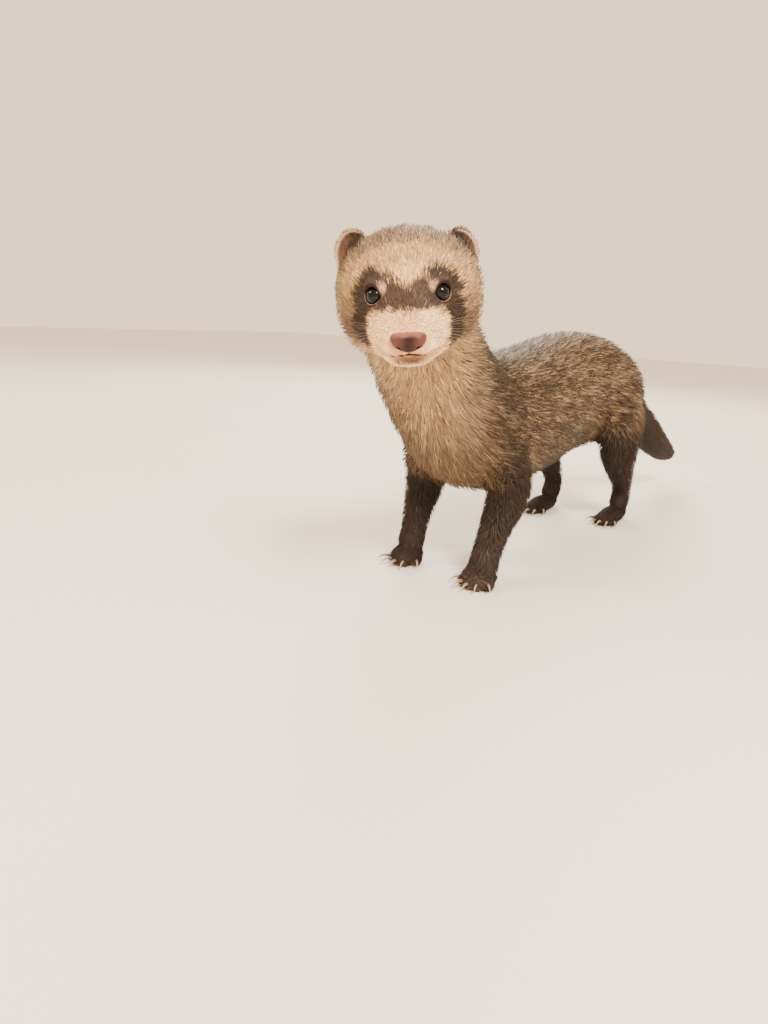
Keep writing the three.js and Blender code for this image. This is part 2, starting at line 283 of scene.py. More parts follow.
def outline_field(nodes, step, low, high, out_reach, in_reach):
    """The distance to the outline that several nodes have together, negative inside."""
    transform = openvdb.createLinearTransform(voxelSize=step)
    start = np.floor(np.asarray(low) / step).astype(int)
    shape = np.ceil(np.asarray(high) / step).astype(int) - start
    nearest = np.full(shape, NARROW * step, np.float32)
    for node in nodes:
        points, triangles = node_triangles(node)
        grid = openvdb.FloatGrid.createLevelSetFromPolygons(points, triangles, transform=transform)
        first = np.maximum(np.floor(points.min(0) / step).astype(int) - NARROW - 1, start)
        last = np.minimum(np.ceil(points.max(0) / step).astype(int) + NARROW + 1, start + shape)
        if (last <= first).any():
            continue
        block = np.empty(last - first, np.float32)
        grid.copyToArray(block, ijk=tuple(int(v) for v in first))
        part = nearest[tuple(slice(a, b) for a, b in zip(first - start, last - start))]
        np.minimum(part, block, out=part)
    sealed = openvdb.FloatGrid(NARROW * step)
    sealed.transform = transform
    sealed.copyFromArray(nearest - SEAL, ijk=tuple(int(v) for v in start))
    points, triangles, quads = sealed.convertToPolygons(0.0)
    grid = openvdb.FloatGrid.createLevelSetFromPolygons(
        points,
        triangles,
        quads,
        transform=transform,
        exBandWidth=out_reach / step,
        inBandWidth=in_reach / step,
    )
    values = np.empty(shape, np.float32)
    grid.copyToArray(values, ijk=tuple(int(v) for v in start))
    return Field(values + SEAL, start * step, step)


def blurred(values, sigma):
    """A Gaussian blur of `sigma` grid steps."""
    reach = int(math.ceil(2.5 * sigma))
    kernel = np.exp(-0.5 * (np.arange(-reach, reach + 1) / sigma) ** 2)
    kernel /= kernel.sum()
    for axis in range(3):
        pad = [(reach, reach) if a == axis else (0, 0) for a in range(3)]
        padded = np.pad(values, pad, mode="edge")
        total = np.zeros_like(values)
        for i, weight in enumerate(kernel):
            cut = [slice(None)] * 3
            cut[axis] = slice(i, i + values.shape[axis])
            total += np.float32(weight) * padded[tuple(cut)]
        values = total
    return values


# The coat's outline, and how deep the skin lies inside it
MARGIN = 8.0  # of the grids beyond the model's box
BOX_LOW = np.array(cad_box[0]) / MM - MARGIN
BOX_HIGH = np.array(cad_box[1]) / MM + MARGIN
OUTLINE_STEP = 1.0
TRUNK_STEP = 2.0
HEAD_STEP = 0.5
HEAD_BACK = -128.0  # where the finer grid of the head ends
HEAD_NODES = ["head", "lower_jaw", "nose", "neck", "chest"]
HEAD_LOW = np.array([BOX_LOW[0], BOX_LOW[1], 84.0])
HEAD_HIGH = np.array([BOX_HIGH[0], HEAD_BACK, BOX_HIGH[2]])

outline = outline_field(FLESH + LEGS + PAWS, OUTLINE_STEP, BOX_LOW, BOX_HIGH, out_reach=10, in_reach=26)
trunk = outline_field(FLESH, TRUNK_STEP, BOX_LOW, BOX_HIGH, out_reach=30, in_reach=20)
head_outline = outline_field(HEAD_NODES, HEAD_STEP, HEAD_LOW, HEAD_HIGH, out_reach=6, in_reach=12)

TAIL_ROOT_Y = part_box("tail")[0].y / MM
TAIL_TIP_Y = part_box("tail")[1].y / MM
HEAD_LENGTH = 80.0
LEG_JOIN = (-7.0, 1.5)  # from the trunk's outline, where a leg begins and where it is whole
LEGS_FROM_Y = (-175, -150)

# Coat depth by the distance behind the nose, by a leg's height, then along the trunk and tail
HEAD_DEPTHS = ([0, 6, 16, 26, 36, 50, 64, 80, 100], [0.45, 0.7, 0.9, 1.1, 1.7, 2.7, 3.8, 5.6, 7.0])
CHEEK_DEPTH = 1.6  # added on the cheeks
LEG_DEPTHS = ([0, 1.2, 4, 12, 30, 60, 80], [0.05, 0.5, 0.9, 1.1, 2.2, 5.0, 6.5])
TRUNK_DEPTH = 8.0
TAIL_DEPTHS = (6.6, 2.4)


def leg_share(p):
    """1 on the legs, 0 on the trunk, and between them where the two join."""
    return smooth_step(*LEG_JOIN, trunk.at(p)) * smooth_step(*LEGS_FROM_Y, p[:, 1])


def coat_depth(p):
    """How far the coat's outline stands over the skin."""
    q = to_head(p)
    back = q[:, 1] - NOSE_TIP_Y
    cheek = smooth_step(-2, -16, q[:, 2]) * smooth_step(-46, -30, q[:, 1])
    head = np.interp(back, *HEAD_DEPTHS) + CHEEK_DEPTH * cheek
    tail_share = smooth_step(TAIL_ROOT_Y - 12, TAIL_ROOT_Y + 25, p[:, 1])
    tail = np.interp(p[:, 1], [TAIL_ROOT_Y, TAIL_TIP_Y], TAIL_DEPTHS)
    body = TRUNK_DEPTH + (tail - TRUNK_DEPTH) * tail_share
    in_head = smooth_step(HEAD_LENGTH + 16, HEAD_LENGTH - 6, back) * (p[:, 1] < -90)
    depth = body + (head - body) * in_head
    leg = np.interp(p[:, 2], *LEG_DEPTHS)
    return depth + (leg - depth) * leg_share(p)


# The head's forms
EYE_MOUND = (0.9, 3.9, 3.0)  # how far along the eye's look it lies, its radius, and how softly it joins
EYE_HOLLOW = (9.2, 6.3, 2.2)  # the same three
BROW = (0.2, (3.6, 2.4, 1.4), 2.8)  # the same, with a radius along each axis
BROW_UP = 4.4  # how far up from the eye it lies
EYE_CLEARANCE = 0.07
LID_RADIUS = 4.05
LID_OPENING = (3.35, 3.05)  # half width and half height of the opening between the lids
INNER_CORNER = (0.45, 0.22)  # how far the opening drops towards its inner corner, and how far it narrows
WHISKER_PAD = ((5.0, -58.5, -6.6), (4.6, 6.5, 3.8))
LIPS_DROP = 1.2  # from the middle of the mouth to its corners
LIPS_ARCH = 0.035
MOUTH_GAPE = 0.26  # half the height of the slit between the lips
MOUTH_DEPTHS = ([2, 4, 6, 8], [0.85, 0.6, 0.25, 0.02])  # of the slit, by the distance from the middle
GROOVE = (0.22, 0.7)  # half the width and the depth of the groove from the nose to the lip
EAR_SHELL = 0.75  # half the thickness of an ear's skin
EAR_HOLLOW = 2.6  # how deep its cup is
EAR_RIDGE = ((0, 0.4, -3.4), (1.1, 2.4, 3.4))
EAR_FOLD = (0.78, 0.09)  # where the cup's fold is, as a share of the way to the rim, and how wide it is
EAR_EDGE = 0.93  # where the rim starts to round off, as the same share


def eye_axes(side):
    """The way an eye looks, and the ways across it to the nose and up it, in the head's frame."""
    looks = unit(mirrored(EYE_LOOKS, side))
    nosewards = unit(np.cross(looks, [0, 0, 1])) * SIDES[side]
    return looks, nosewards, np.cross(nosewards, looks) * SIDES[side]


def eye_distance(q):
    return np.minimum(*(np.linalg.norm(q - mirrored(EYE_AT, side), axis=1) for side in SIDES))


def lid_distance(q, side):
    """How far outside the opening between one eye's lids a point is, seen along the eye's look."""
    looks, nosewards, up = eye_axes(side)
    seen = q - mirrored(EYE_AT, side)
    wide = (seen @ nosewards) / LID_OPENING[0]
    corner = np.clip(wide, 0, 1.3)
    drop, narrowing = INNER_CORNER
    high = (seen @ up + drop * corner**2) / (LID_OPENING[1] * (1 - narrowing * corner**2))
    flat = (np.hypot(wide, high) - 1) * LID_OPENING[1]
    return smooth_max(flat, -(seen @ looks), 0.3)


def nearest_lid(q):
    return np.minimum(*(lid_distance(q, side) for side in SIDES))


def ear_frame(side):
    """Where an ear's disc is in the head's frame, and its turn there."""
    out = SIDES[side]
    about_z, about_x, about_y = EAR_TURNS
    at = mirrored(EAR_AT + (LEFT_EAR_LAID if side == "left" else 0), side)
    turn = (
        Matrix.Rotation(math.radians(out * about_z), 3, "Z")
        @ Matrix.Rotation(math.radians(about_x), 3, "X")
        @ Matrix.Rotation(math.radians(out * about_y), 3, "Y")
    )
    return at, np.array(turn)


def ear_form(q, side):
    """One ear's field, how far out to its rim points are, and how far through its skin."""
    at, turn = ear_frame(side)
    e = (q - at) @ turn
    rim = np.hypot(e[:, 0] / (EAR_WIDTH / 2), e[:, 2] / (EAR_HEIGHT / 2))
    middle = EAR_HOLLOW * (1 - np.minimum(rim, 1.2) ** 2) - EAR_CURL * e[:, 0] ** 2
    through = e[:, 1] - middle
    fold_at, fold_wide = EAR_FOLD
    fold = 0.9 * np.exp(-(((rim - fold_at) / fold_wide) ** 2)) * smooth_step(-2, 3, e[:, 2])
    shell = np.abs(through) - EAR_SHELL - 0.25 * smooth_step(0.7, 1.0, rim) + 0.3 * fold * (through < 0)
    edge = (rim - EAR_EDGE) * EAR_WIDTH / 2
    field = smooth_min(smooth_max(shell, edge, 0.8), ball(e, *EAR_RIDGE), 1.2)
    return field, rim, through


def nearest_ear(q):
    """The same three numbers for the ear that each point is nearer to."""
    left, right = (np.stack(ear_form(q, side)) for side in SIDES)
    return np.where(right[0] < left[0], right, left)


def chin_share(q):
    """1 on the front of the lower jaw, which is narrower than the lips that overhang it."""
    below = smooth_step(MOUTH_HEIGHT + 0.6, MOUTH_HEIGHT - 1.2, q[:, 2])
    return below * smooth_step(-44, -56, q[:, 1])


def with_features(field, q):
    """The head's skin with its eyes' hollows and lids, mouth, brow and ears."""
    for side in SIDES:
        at = mirrored(EYE_AT, side)
        looks, _, up = eye_axes(side)
        along, radius, soft = EYE_MOUND
        field = smooth_min(field, ball(q, at + along * looks, radius), soft)
        along, radius, soft = EYE_HOLLOW
        field = smooth_max(field, -ball(q, at + along * looks, radius), soft)
        along, radii, soft = BROW
        field = smooth_min(field, ball(q, at + along * looks + BROW_UP * up, radii), soft)
        field = smooth_min(field, ball(q, at, LID_RADIUS), 0.9)
        field = smooth_max(field, -lid_distance(q, side), 0.35)
        field = np.maximum(field, -ball(q, at, EYE_RADIUS + EYE_CLEARANCE))
        pad_at, pad_radii = WHISKER_PAD
        field = smooth_min(field, ball(q, mirrored(pad_at, side), pad_radii), 2.5)
        field = smooth_min(field, ear_form(q, side)[0], 2.2)
    x, y, z = np.abs(q[:, 0]), q[:, 1], q[:, 2]
    field = field + chin_share(q) * 0.42 * np.maximum(x - 4.5, 0)
    lips = MOUTH_HEIGHT - LIPS_DROP * smooth_step(-52, MOUTH_CORNER_Y, y) - LIPS_ARCH * np.minimum(x**2, 40)
    slit = np.maximum(np.abs(z - lips) - MOUTH_GAPE, y - MOUTH_CORNER_Y)
    slit = np.maximum(slit, -field - np.interp(x, *MOUTH_DEPTHS))
    field = smooth_max(field, -slit, 0.45)
    behind_nose = ball(q, NOSE_AT + [0, -0.6, 0.2], NOSE_SIZE / 2 - [0.9, 0.2, 0.9])
    field = smooth_max(field, -behind_nose, 0.4)
    groove = np.maximum(x - GROOVE[0], -field - GROOVE[1])
    groove = np.maximum(groove, np.maximum(lips - z, z - NOSE_AT[2]))
    return smooth_max(field, -groove, 0.3)


# The skin's mesh
def graded(low, high, stops):
    """Grid lines from low to high, whose spacing follows (place, spacing) stops."""
    places, spacings = zip(*stops)
    lines = [low]
    while lines[-1] < high:
        lines.append(lines[-1] + np.interp(lines[-1], places, spacings))
    return np.array(lines)


def grid_points(lines):
    return np.stack(np.meshgrid(*lines, indexing="ij"), -1).reshape(-1, 3)


def in_parts(function, points):
    """A function of very many points, worked out a part at a time to save memory."""
    return np.concatenate([function(part) for part in np.array_split(points, 12)]).astype(np.float32)


def firmness(p):
    """1 where the skin keeps the outline's small forms, 0 where they are smoothed away."""
    return np.maximum(smooth_step(26, 14, p[:, 2]), smooth_step(HEAD_BACK + 20, HEAD_BACK, p[:, 1]))


def skin_grid():
    """The skin's field on a grid that is finest at the head and feet, with its lines along x, y and z."""
    coarse = 1.0
    x_stops = [(-50, 0.62 * coarse), (50, 0.62 * coarse)]
    y_stops = [(-150, 0.5 * coarse), (-140, 0.9), (-104, 0.9), (-96, 2)]
    y_stops += [(22, 2), (30, 0.9), (72, 0.9), (80, 2)]
    z_stops = [(14, 0.6 * coarse), (26, 1.1), (106, 1.1), (116, 0.5 * coarse)]
    lines = [graded(*ends) for ends in zip(BOX_LOW, BOX_HIGH, (x_stops, y_stops, z_stops))]
    shape = outline.values.shape
    points = grid_points([outline.low[a] + outline.step * np.arange(shape[a]) for a in range(3)])
    depth = in_parts(coat_depth, points).reshape(shape)
    near = blurred(outline.values, 1.0)
    far = blurred(outline.values, 3.2)
    body = far + (near - far) * in_parts(firmness, points).reshape(shape) + depth
    values = Field(body, outline.low, outline.step).on(lines)
    # The head, from its finer outline
    last_y = np.searchsorted(lines[1], HEAD_BACK - 4)
    first_z = np.searchsorted(lines[2], HEAD_LOW[2] + 4)
    head_lines = (lines[0], lines[1][:last_y], lines[2][first_z:])
    block = Field(blurred(head_outline.values, 2.2), head_outline.low, head_outline.step).on(head_lines)
    points = grid_points(head_lines)
    head = with_features(block.reshape(-1) + coat_depth(points), to_head(points))
    share = smooth_step(HEAD_BACK - 6, HEAD_BACK - 26, points[:, 1]) * smooth_step(88, 100, points[:, 2])
    old = values[:, :last_y, first_z:].reshape(-1)
    values[:, :last_y, first_z:] = (old + (head - old) * share).reshape(block.shape)
    return values, lines


def mesh_from(name, points, faces, smooth=True):
    """A mesh object from points in millimetres and faces that all have the same number of corners."""
    mesh = bpy.data.meshes.new(name)
    faces = np.asarray(faces, np.int32)
    mesh.vertices.add(len(points))
    mesh.vertices.foreach_set("co", (np.asarray(points, np.float32) * MM).ravel())
    mesh.loops.add(faces.size)
    mesh.loops.foreach_set("vertex_index", faces.ravel())
    mesh.polygons.add(len(faces))
    mesh.polygons.foreach_set("loop_start", np.arange(0, faces.size, faces.shape[1], dtype=np.int32))
    mesh.polygons.foreach_set("use_smooth", np.full(len(faces), smooth))
    mesh.update(calc_edges=True)
    made = bpy.data.objects.new(name, mesh)
    bpy.context.scene.collection.objects.link(made)
    return made


def facing_out(points, faces):
    """The faces of a closed mesh, turned over if they face in."""
    a, b, c = (points[faces[:, i]] - points.mean(0) for i in range(3))
    inward = np.einsum("ij,ij->", a, np.cross(b, c)) < 0
    return faces[:, ::-1] if inward else faces


def surface(values, lines):
    """The zero surface of a field on a graded grid: points in millimetres, and triangles facing out."""
    reach = 3.0
    grid = openvdb.FloatGrid(reach)
    grid.copyFromArray(np.clip(values, -reach, reach).astype(np.float32))
    points, triangles, quads = grid.convertToPolygons(0.0)
    points = np.stack([np.interp(points[:, a], np.arange(len(lines[a])), lines[a]) for a in range(3)], 1)
    quads = quads.astype(np.int64)
    faces = np.concatenate([triangles.astype(np.int64), quads[:, [0, 1, 2]], quads[:, [0, 2, 3]]])
    return points, facing_out(points, faces)


def largest_part(points, faces):
    """The biggest connected piece of a triangle mesh."""
    label = np.arange(len(points))
    while True:
        least = label[faces].min(1)
        new = label.copy()
        for i in range(3):
            np.minimum.at(new, faces[:, i], least)
        new = new[new]
        if (new == label).all():
            break
        label = new
    best = np.bincount(label[faces[:, 0]]).argmax()
    faces = faces[label[faces[:, 0]] == best]
    used, faces = np.unique(faces, return_inverse=True)
    return points[used], faces.reshape(-1, 3)


def face_normals(points, faces):
    """The normals of triangles, each as long as twice the triangle's area."""
    a, b, c = (points[faces[:, i]] for i in range(3))
    return np.cross(b - a, c - a)


def vertex_normals(points, faces):
    flat = face_normals(points, faces)
    out = np.zeros_like(points)
    for axis in range(3):
        for i in range(3):
            out[:, axis] += np.bincount(faces[:, i], flat[:, axis], len(points))
    return unit(out)


skin_points, skin_faces = largest_part(*surface(*skin_grid()))
skin_normals = vertex_normals(skin_points, skin_faces)


# Colours
def rgb(red, green, blue):
    """A colour given from 0 to 255 as screens show it, as linear numbers."""
    c = np.array([red, green, blue]) / 255
    return np.where(c < 0.04045, c / 12.92, ((c + 0.055) / 1.055) ** 2.4)


CREAM = rgb(242, 192, 134)
WHITE = rgb(255, 206, 154)
STRAW = rgb(140, 111, 84)
MASK = rgb(43, 33, 29)
MASK_ROOT = rgb(84, 66, 56)
GREY_BROWN = rgb(116, 88, 68)
SABLE = rgb(42, 28, 21)
UNDERCOAT = rgb(219, 186, 144)
POINTS = rgb(32, 24, 20)
POINTS_ROOT = rgb(66, 50, 41)
PINK = rgb(232, 156, 124)
# Pinkish brown of the chin and lips: partly their own colour, partly painted shade under the mouth
CHIN_PINK_AND_SHADE = rgb(92, 51, 37)
SPOT_PINK = rgb(216, 166, 136)
EAR_PINK = rgb(104, 68, 52)
# The middle of an ear's cup: painted shade
EAR_DEEP_SHADE = rgb(62, 42, 34)
EAR_RIM = rgb(255, 222, 188)
NOSE_PINK = rgb(90, 48, 38)
NOSE_DARK = rgb(34, 10, 8)
PAD_PINK = rgb(176, 116, 96)
LID_DARK = rgb(34, 22, 18)
LID_PALE = rgb(176, 140, 122)
CLAW_ROOT = rgb(92, 70, 56)
CLAW_TIP = rgb(186, 166, 140)
WHISKER_BROWN = rgb(128, 106, 88)
FLOOR_PALE = rgb(232, 228, 222)
DAYLIGHT = rgb(254, 227, 186)

# Marks on the face. Their places are (distance from the middle, distance behind the nose, height).
EYE_PATCH = ((12.7, 26.6, 7.4), (7.6, 8.0, 8.6))
BAND = ((14.2, 25.2, 2.0), (17.0, 26.0, -8.6), 5.8, 5.3)
BRIDGE_FRONT = 10.4  # where the muzzle ends and the bar between the eyes begins
BAR_BACKS = ([0, 3, 6, 9, 12], [19.8, 22.2, 24.8, 26.4, 28])
BAR_WIDE = 12.5
INNER_SPOT = ((9.0, 22.2, 9.6), (1.3, 1.9, 2.0))
EAR_BASE_TUFT = ((19.2, 58.0, 15.2), (6.0, 9.0, 6.2))
JAW_PATCH = ((22.0, 34.0, -8.0), (6.0, 9.0, 6.0))
CHIN_PATCH = ((0.0, 3.5, -10.0), (5.6, 6.0, 2.8))
NOSE_BRIDGE = ((0.0, 7.0, 1.5), (4.4, 6.5, 3.4))
MARKS_LUMP = 2.2  # the size of the waves in the marks' edges
MARKS_SEED = 3


def mixed(a, b, share):
    return a + (b - a) * np.asarray(share)[..., None]


def ear_flesh(out):
    """The bare skin in an ear's cup, from its middle out to its rim, with painted shade darkening the middle.
    """
    cup = mixed(EAR_DEEP_SHADE, EAR_PINK, smooth_step(0.15, 0.6, out))
    return mixed(cup, EAR_RIM, smooth_step(0.76, 0.96, out))


def folded(q):
    """Points in the head's frame as (distance from the middle, distance behind the nose, height)."""
    return np.stack([np.abs(q[:, 0]), q[:, 1] - NOSE_TIP_Y, q[:, 2]], 1)


def within(f, patch, soft, rough):
    """1 inside an ellipsoid given as (place, radii), falling to 0 over `soft` about its edge."""
    return smooth_step(soft, -soft, ball(f, *(np.array(v) for v in patch)) + rough)


def face_marks(f, rough, ear_out, ear_through):
    """Colours at the hairs' roots and tips on the head, how dark its long hairs are, and how far the dark
    tufts before the ears reach."""
    x, back, z = f.T
    # The mask: a patch over each eye, a band below it, and a bar between the two
    front = BRIDGE_FRONT + 0.35 * x**1.22
    bar = np.maximum(front - back, back - np.interp(x, *BAR_BACKS)) * 0.8
    bar = np.maximum(bar, np.maximum(x - BAR_WIDE, 1.0 - z))
    mask = smooth_min(ball(f, *(np.array(v) for v in EYE_PATCH)), capsule(f, *BAND), 2)
    mask = smooth_step(1.5, -1.3, smooth_min(mask, bar, 2) + 1.25 * rough)
    mask_tip = mixed(MASK, GREY_BROWN, 0.22 * smooth_step(11, 5, x))
    muzzle = smooth_step(2.5, -2.0, back - front - 0.5 * np.maximum(-z, 0) + 0.8 * rough)
    # The rest of the head: cream, greyer on the crown, dark behind the cheeks: sable fur and painted shadow
    crown = smooth_step(30, 42, back + 1.2 * rough) * smooth_step(10, 17, z)
    behind = smooth_step(37, 45, back + 2 * rough) * smooth_step(17, 23, x + rough)
    straw = smooth_step(16.5, 21, x) * (1 - behind) * smooth_step(11, 1, z)
    grizzle = smooth_step(22, 30, back) * (1 - straw) * 0.32
    jaw = within(f, JAW_PATCH, 2.5, rough)
    # The chin's pinkish-brown patch: partly its own colour, partly painted shade under the mouth
    chin = within(f, CHIN_PATCH, 1.8, 0.4 * rough)
    bridge = within(f, NOSE_BRIDGE, 1.8, 0.3 * rough)
    spot = within(f, INNER_SPOT, 1.0, 0.7 * rough)
    upper_rim = smooth_step(0.84, 0.95, ear_out) * smooth_step(15.5, 18.0, z)
    ear_tuft = within(f, EAR_BASE_TUFT, 1.2, rough) * smooth_step(0.6, -0.4, ear_through) * (1 - upper_rim)
    # One over another: a colour and its share at the roots, and the same at the tips
    layers = (
        (WHITE, muzzle, WHITE, muzzle),
        (STRAW, straw * 0.8, STRAW * 0.95, straw),
        (UNDERCOAT * 0.72, crown, GREY_BROWN, np.maximum(grizzle, crown * 0.95)),
        (GREY_BROWN, 0, GREY_BROWN * 0.7, jaw),
        (SABLE, 0, SABLE * 1.3, behind * 0.85),
        (CHIN_PINK_AND_SHADE, chin * 0.9, CHIN_PINK_AND_SHADE, chin * 0.92),
        (PINK, bridge * 0.7, PINK, bridge * 0.55),
        (MASK_ROOT, np.maximum(mask, ear_tuft * 0.9), mask_tip, np.maximum(mask, ear_tuft * 0.95)),
        (SPOT_PINK, spot, SPOT_PINK, spot),
    )
    root = tip = CREAM
    for root_colour, root_share, tip_colour, tip_share in layers:
        root = mixed(root, root_colour, root_share)
        tip = mixed(tip, tip_colour, tip_share)
    dark = np.maximum(np.maximum(crown * 0.72, behind * 0.7), grizzle * 1.7) * (1 - mask) * (1 - muzzle)
    return root, tip, dark, ear_tuft


def body_marks(p, rough):
    """Colours at the hairs' roots and tips behind the head, and how dark its long hairs are: cream underfur
    and dark long hairs, darkest on legs, feet and tail."""
    throat = 0.5 * smooth_step(-0.1, -0.75, outline.slope(p)[:, 2]) * smooth_step(-60, -120, p[:, 1])
    tail = smooth_step(TAIL_ROOT_Y - 30, TAIL_ROOT_Y + 20, p[:, 1] + 6 * rough)
    legs = smooth_step(0.1, 0.95, leg_share(p) + 0.12 * rough) * smooth_step(90, 54, p[:, 2] + 6 * rough)
    legs = np.maximum(legs, tail)
    low = smooth_step(118, 60, p[:, 2])
    root = mixed(UNDERCOAT, POINTS_ROOT, legs)
    tip = mixed(mixed(UNDERCOAT * 0.7, GREY_BROWN, 0.45 + 0.25 * rough + 0.2 * low), POINTS, legs)
    return root, mixed(tip, CREAM, throat * 0.4), np.maximum(1.0 - 0.45 * throat, legs)


def marks(p, rough):
    """Colours of the coat at points in the row's frame: at the hairs' roots, at their tips, and how dark
    the long hairs among them are."""
    q = to_head(p)
    on_ear, out, through = nearest_ear(q)
    root, tip, dark, ear_tuft = face_marks(folded(q), rough, out, through)
    body_root, body_tip, body_dark = body_marks(p, rough)
    in_head = smooth_step(86, 60, q[:, 1] - NOSE_TIP_Y) * smooth_step(66, 84, p[:, 2]) * (p[:, 1] < -80)
    root = mixed(body_root, root, in_head)
    tip = mixed(body_tip, tip, in_head)
    dark = body_dark + (dark - body_dark) * in_head
    # The ears: pale rims, and backs like the crown
    ear = smooth_step(1.3, 0.3, on_ear) * (q[:, 1] > EARS_FROM_Y) * in_head
    ear = ear * (1 - ear_tuft * smooth_step(0.92, 0.76, out))
    back_of_ear = smooth_step(0.2, 0.8, through) * smooth_step(0.88, 0.6, out)
    fringe = mixed(EAR_RIM, GREY_BROWN * 1.2, back_of_ear * 0.7)
    fringe = mixed(fringe, ear_flesh(out) * 1.15, smooth_step(0.5, 0.0, through))
    return mixed(root, fringe * 0.9, ear), mixed(tip, fringe, ear), dark * (1 - ear)


# Materials
class Look:
    """A material, with short ways to add and link its shader nodes."""

    def __init__(self, name, roughness, specular, subsurface=0.0, coat=0.0):
        self.material = bpy.data.materials.new(name)
        self.material.use_nodes = True
        self.tree = self.material.node_tree
        self.shader = self.tree.nodes["Principled BSDF"]
        numbers = {
            "Roughness": roughness,
            "Specular IOR Level": specular,
            "Subsurface Weight": subsurface,
            "Subsurface Scale": 0.002,
            "Coat Weight": coat,
        }
        for socket, number in numbers.items():
            self.shader.inputs[socket].default_value = number

    def add(self, kind, **values):
        node = self.tree.nodes.new(kind)
        for name, value in values.items():
            if name in node.inputs:
                node.inputs[name].default_value = value
            else:
                setattr(node, name, value)
        return node

    def link(self, source, target):
        self.tree.links.new(source, target)

    def attribute(self, name):
        return self.add("ShaderNodeAttribute", attribute_name=name)

    def coat_colour(self):
        return self.attribute("coat_colour").outputs["Color"]

    def one_colour(self, colour):
        node = self.add("ShaderNodeRGB")
        node.outputs[0].default_value = (*colour, 1)
        return node.outputs[0]

    def place(self):
        return self.add("ShaderNodeTexCoord").outputs["Object"]

    def noise(self, scale, detail=2.0, vector=None):
        node = self.add("ShaderNodeTexNoise", Scale=scale, Detail=detail)
        self.link(self.place() if vector is None else vector, node.inputs["Vector"])
        return node.outputs["Fac"]

    def ranged(self, value, low, high, to_low, to_high):
        node = self.add("ShaderNodeMapRange")
        for i, number in enumerate((low, high, to_low, to_high)):
            node.inputs[i + 1].default_value = number
        self.link(value, node.inputs[0])
        return node.outputs[0]

    def paint(self, colour, noise, darkest, lightest):
        """Give the shader a colour, varied between two shades of it by a noise."""
        node = self.add("ShaderNodeMix", data_type="RGBA", blend_type="MULTIPLY")
        node.inputs[0].default_value = 1.0
        self.link(colour, node.inputs[6])
        self.link(self.ranged(noise, 0.3, 0.7, darkest, lightest), node.inputs[7])
        self.link(node.outputs[2], self.shader.inputs["Base Color"])

    def bump(self, height, strength, distance):
        node = self.add("ShaderNodeBump", Strength=strength, Distance=distance)
        self.link(height, node.inputs["Height"])
        self.link(node.outputs["Normal"], self.shader.inputs["Normal"])


def coat_material():
    """Fur: each vertex holds its colour, and fine streaks run along the tuft."""
    look = Look("coat", 0.6, specular=0.2)
    strand = look.attribute("strand").outputs["Vector"]
    look.paint(look.coat_colour(), look.noise(1.0, 1.0, strand), 0.76, 1.18)
    return look.material


def skin_material():
    """Skin with the coat's own markings and a short nap over it."""
    look = Look("skin", 0.7, specular=0.16, subsurface=0.08)
    fine = look.noise(2600.0, 3.0)
    look.paint(look.coat_colour(), fine, 0.85, 1.1)
    look.bump(fine, 0.25, 0.0003)
    return look.material


def nose_material():
    """Moist, finely pebbled bare skin."""
    look = Look("nose", 0.5, specular=0.22, subsurface=0.06, coat=0.04)
    look.shader.inputs["Coat Roughness"].default_value = 0.25
    pebbles = look.add("ShaderNodeTexVoronoi", Scale=2900.0)
    look.link(look.place(), pebbles.inputs["Vector"])
    look.paint(look.coat_colour(), look.noise(900.0, 3.0), 0.82, 1.12)
    look.bump(pebbles.outputs["Distance"], 0.5, 0.00012)
    look.link(look.ranged(pebbles.outputs["Distance"], 0.0, 0.6, 0.58, 0.42), look.shader.inputs["Roughness"])
    return look.material


# The eye's colours by the angle off its line of sight, where 1 is the back of the ball
EYE_RINGS = ((0.0, (2, 2, 3)), (0.17, (3, 3, 4)), (0.22, (20, 13, 10)), (0.42, (15, 10, 8)))
EYE_EDGE = (0.5, (6, 5, 5))


def eye_material():
    """A dark eye under a clear, wet cornea: black pupil, deep brown iris, darker rim."""
    look = Look("eye", 0.04, specular=0.25)
    ramp = look.add("ShaderNodeValToRGB")
    stops = ramp.color_ramp.elements
    for place, colour in EYE_RINGS:
        stops.new(place).color = (*rgb(*colour), 1)
    stops.remove(stops[0])
    stops[-1].position = EYE_EDGE[0]
    stops[-1].color = (*rgb(*EYE_EDGE[1]), 1)
    look.link(look.attribute("off_axis").outputs["Fac"], ramp.inputs[0])
    look.paint(ramp.outputs[0], look.noise(1500.0, 4.0), 0.7, 1.4)
    look.bump(look.noise(700.0, 1.0), 0.02, 0.00005)
    return look.material


def claw_material():
    """Horn: translucent, darker at the root, with fine lines along it."""
    look = Look("claw_horn", 0.33, specular=0.5, subsurface=0.2)
    mix = look.add("ShaderNodeMix", data_type="RGBA")
    look.link(look.attribute("along").outputs["Fac"], mix.inputs[0])
    mix.inputs[6].default_value = (*CLAW_ROOT, 1)
    mix.inputs[7].default_value = (*CLAW_TIP, 1)
    fine = look.noise(3000.0, 2.0)
    look.paint(mix.outputs[2], fine, 0.88, 1.08)
    look.bump(fine, 0.2, 0.0001)
    return look.material


def set_numbers(mesh, name, values, kind):
    """A colour, a vector or a number on every vertex."""
    keys = {"FLOAT_COLOR": "color", "FLOAT_VECTOR": "vector", "FLOAT": "value"}
    if kind == "FLOAT_COLOR":
        values = np.concatenate([values, np.ones((len(values), 1))], 1)
    layer = mesh.attributes.new(name, kind, "POINT")
    layer.data.foreach_set(keys[kind], values.astype(np.float32).ravel())


def finished(piece, material, nodes=()):
    """Give a piece its material, put it on the root's empty, and hide the nodes that it stands for."""
    piece.data.materials.append(material)
    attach(piece, "root")
    if nodes:
        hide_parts(*nodes)


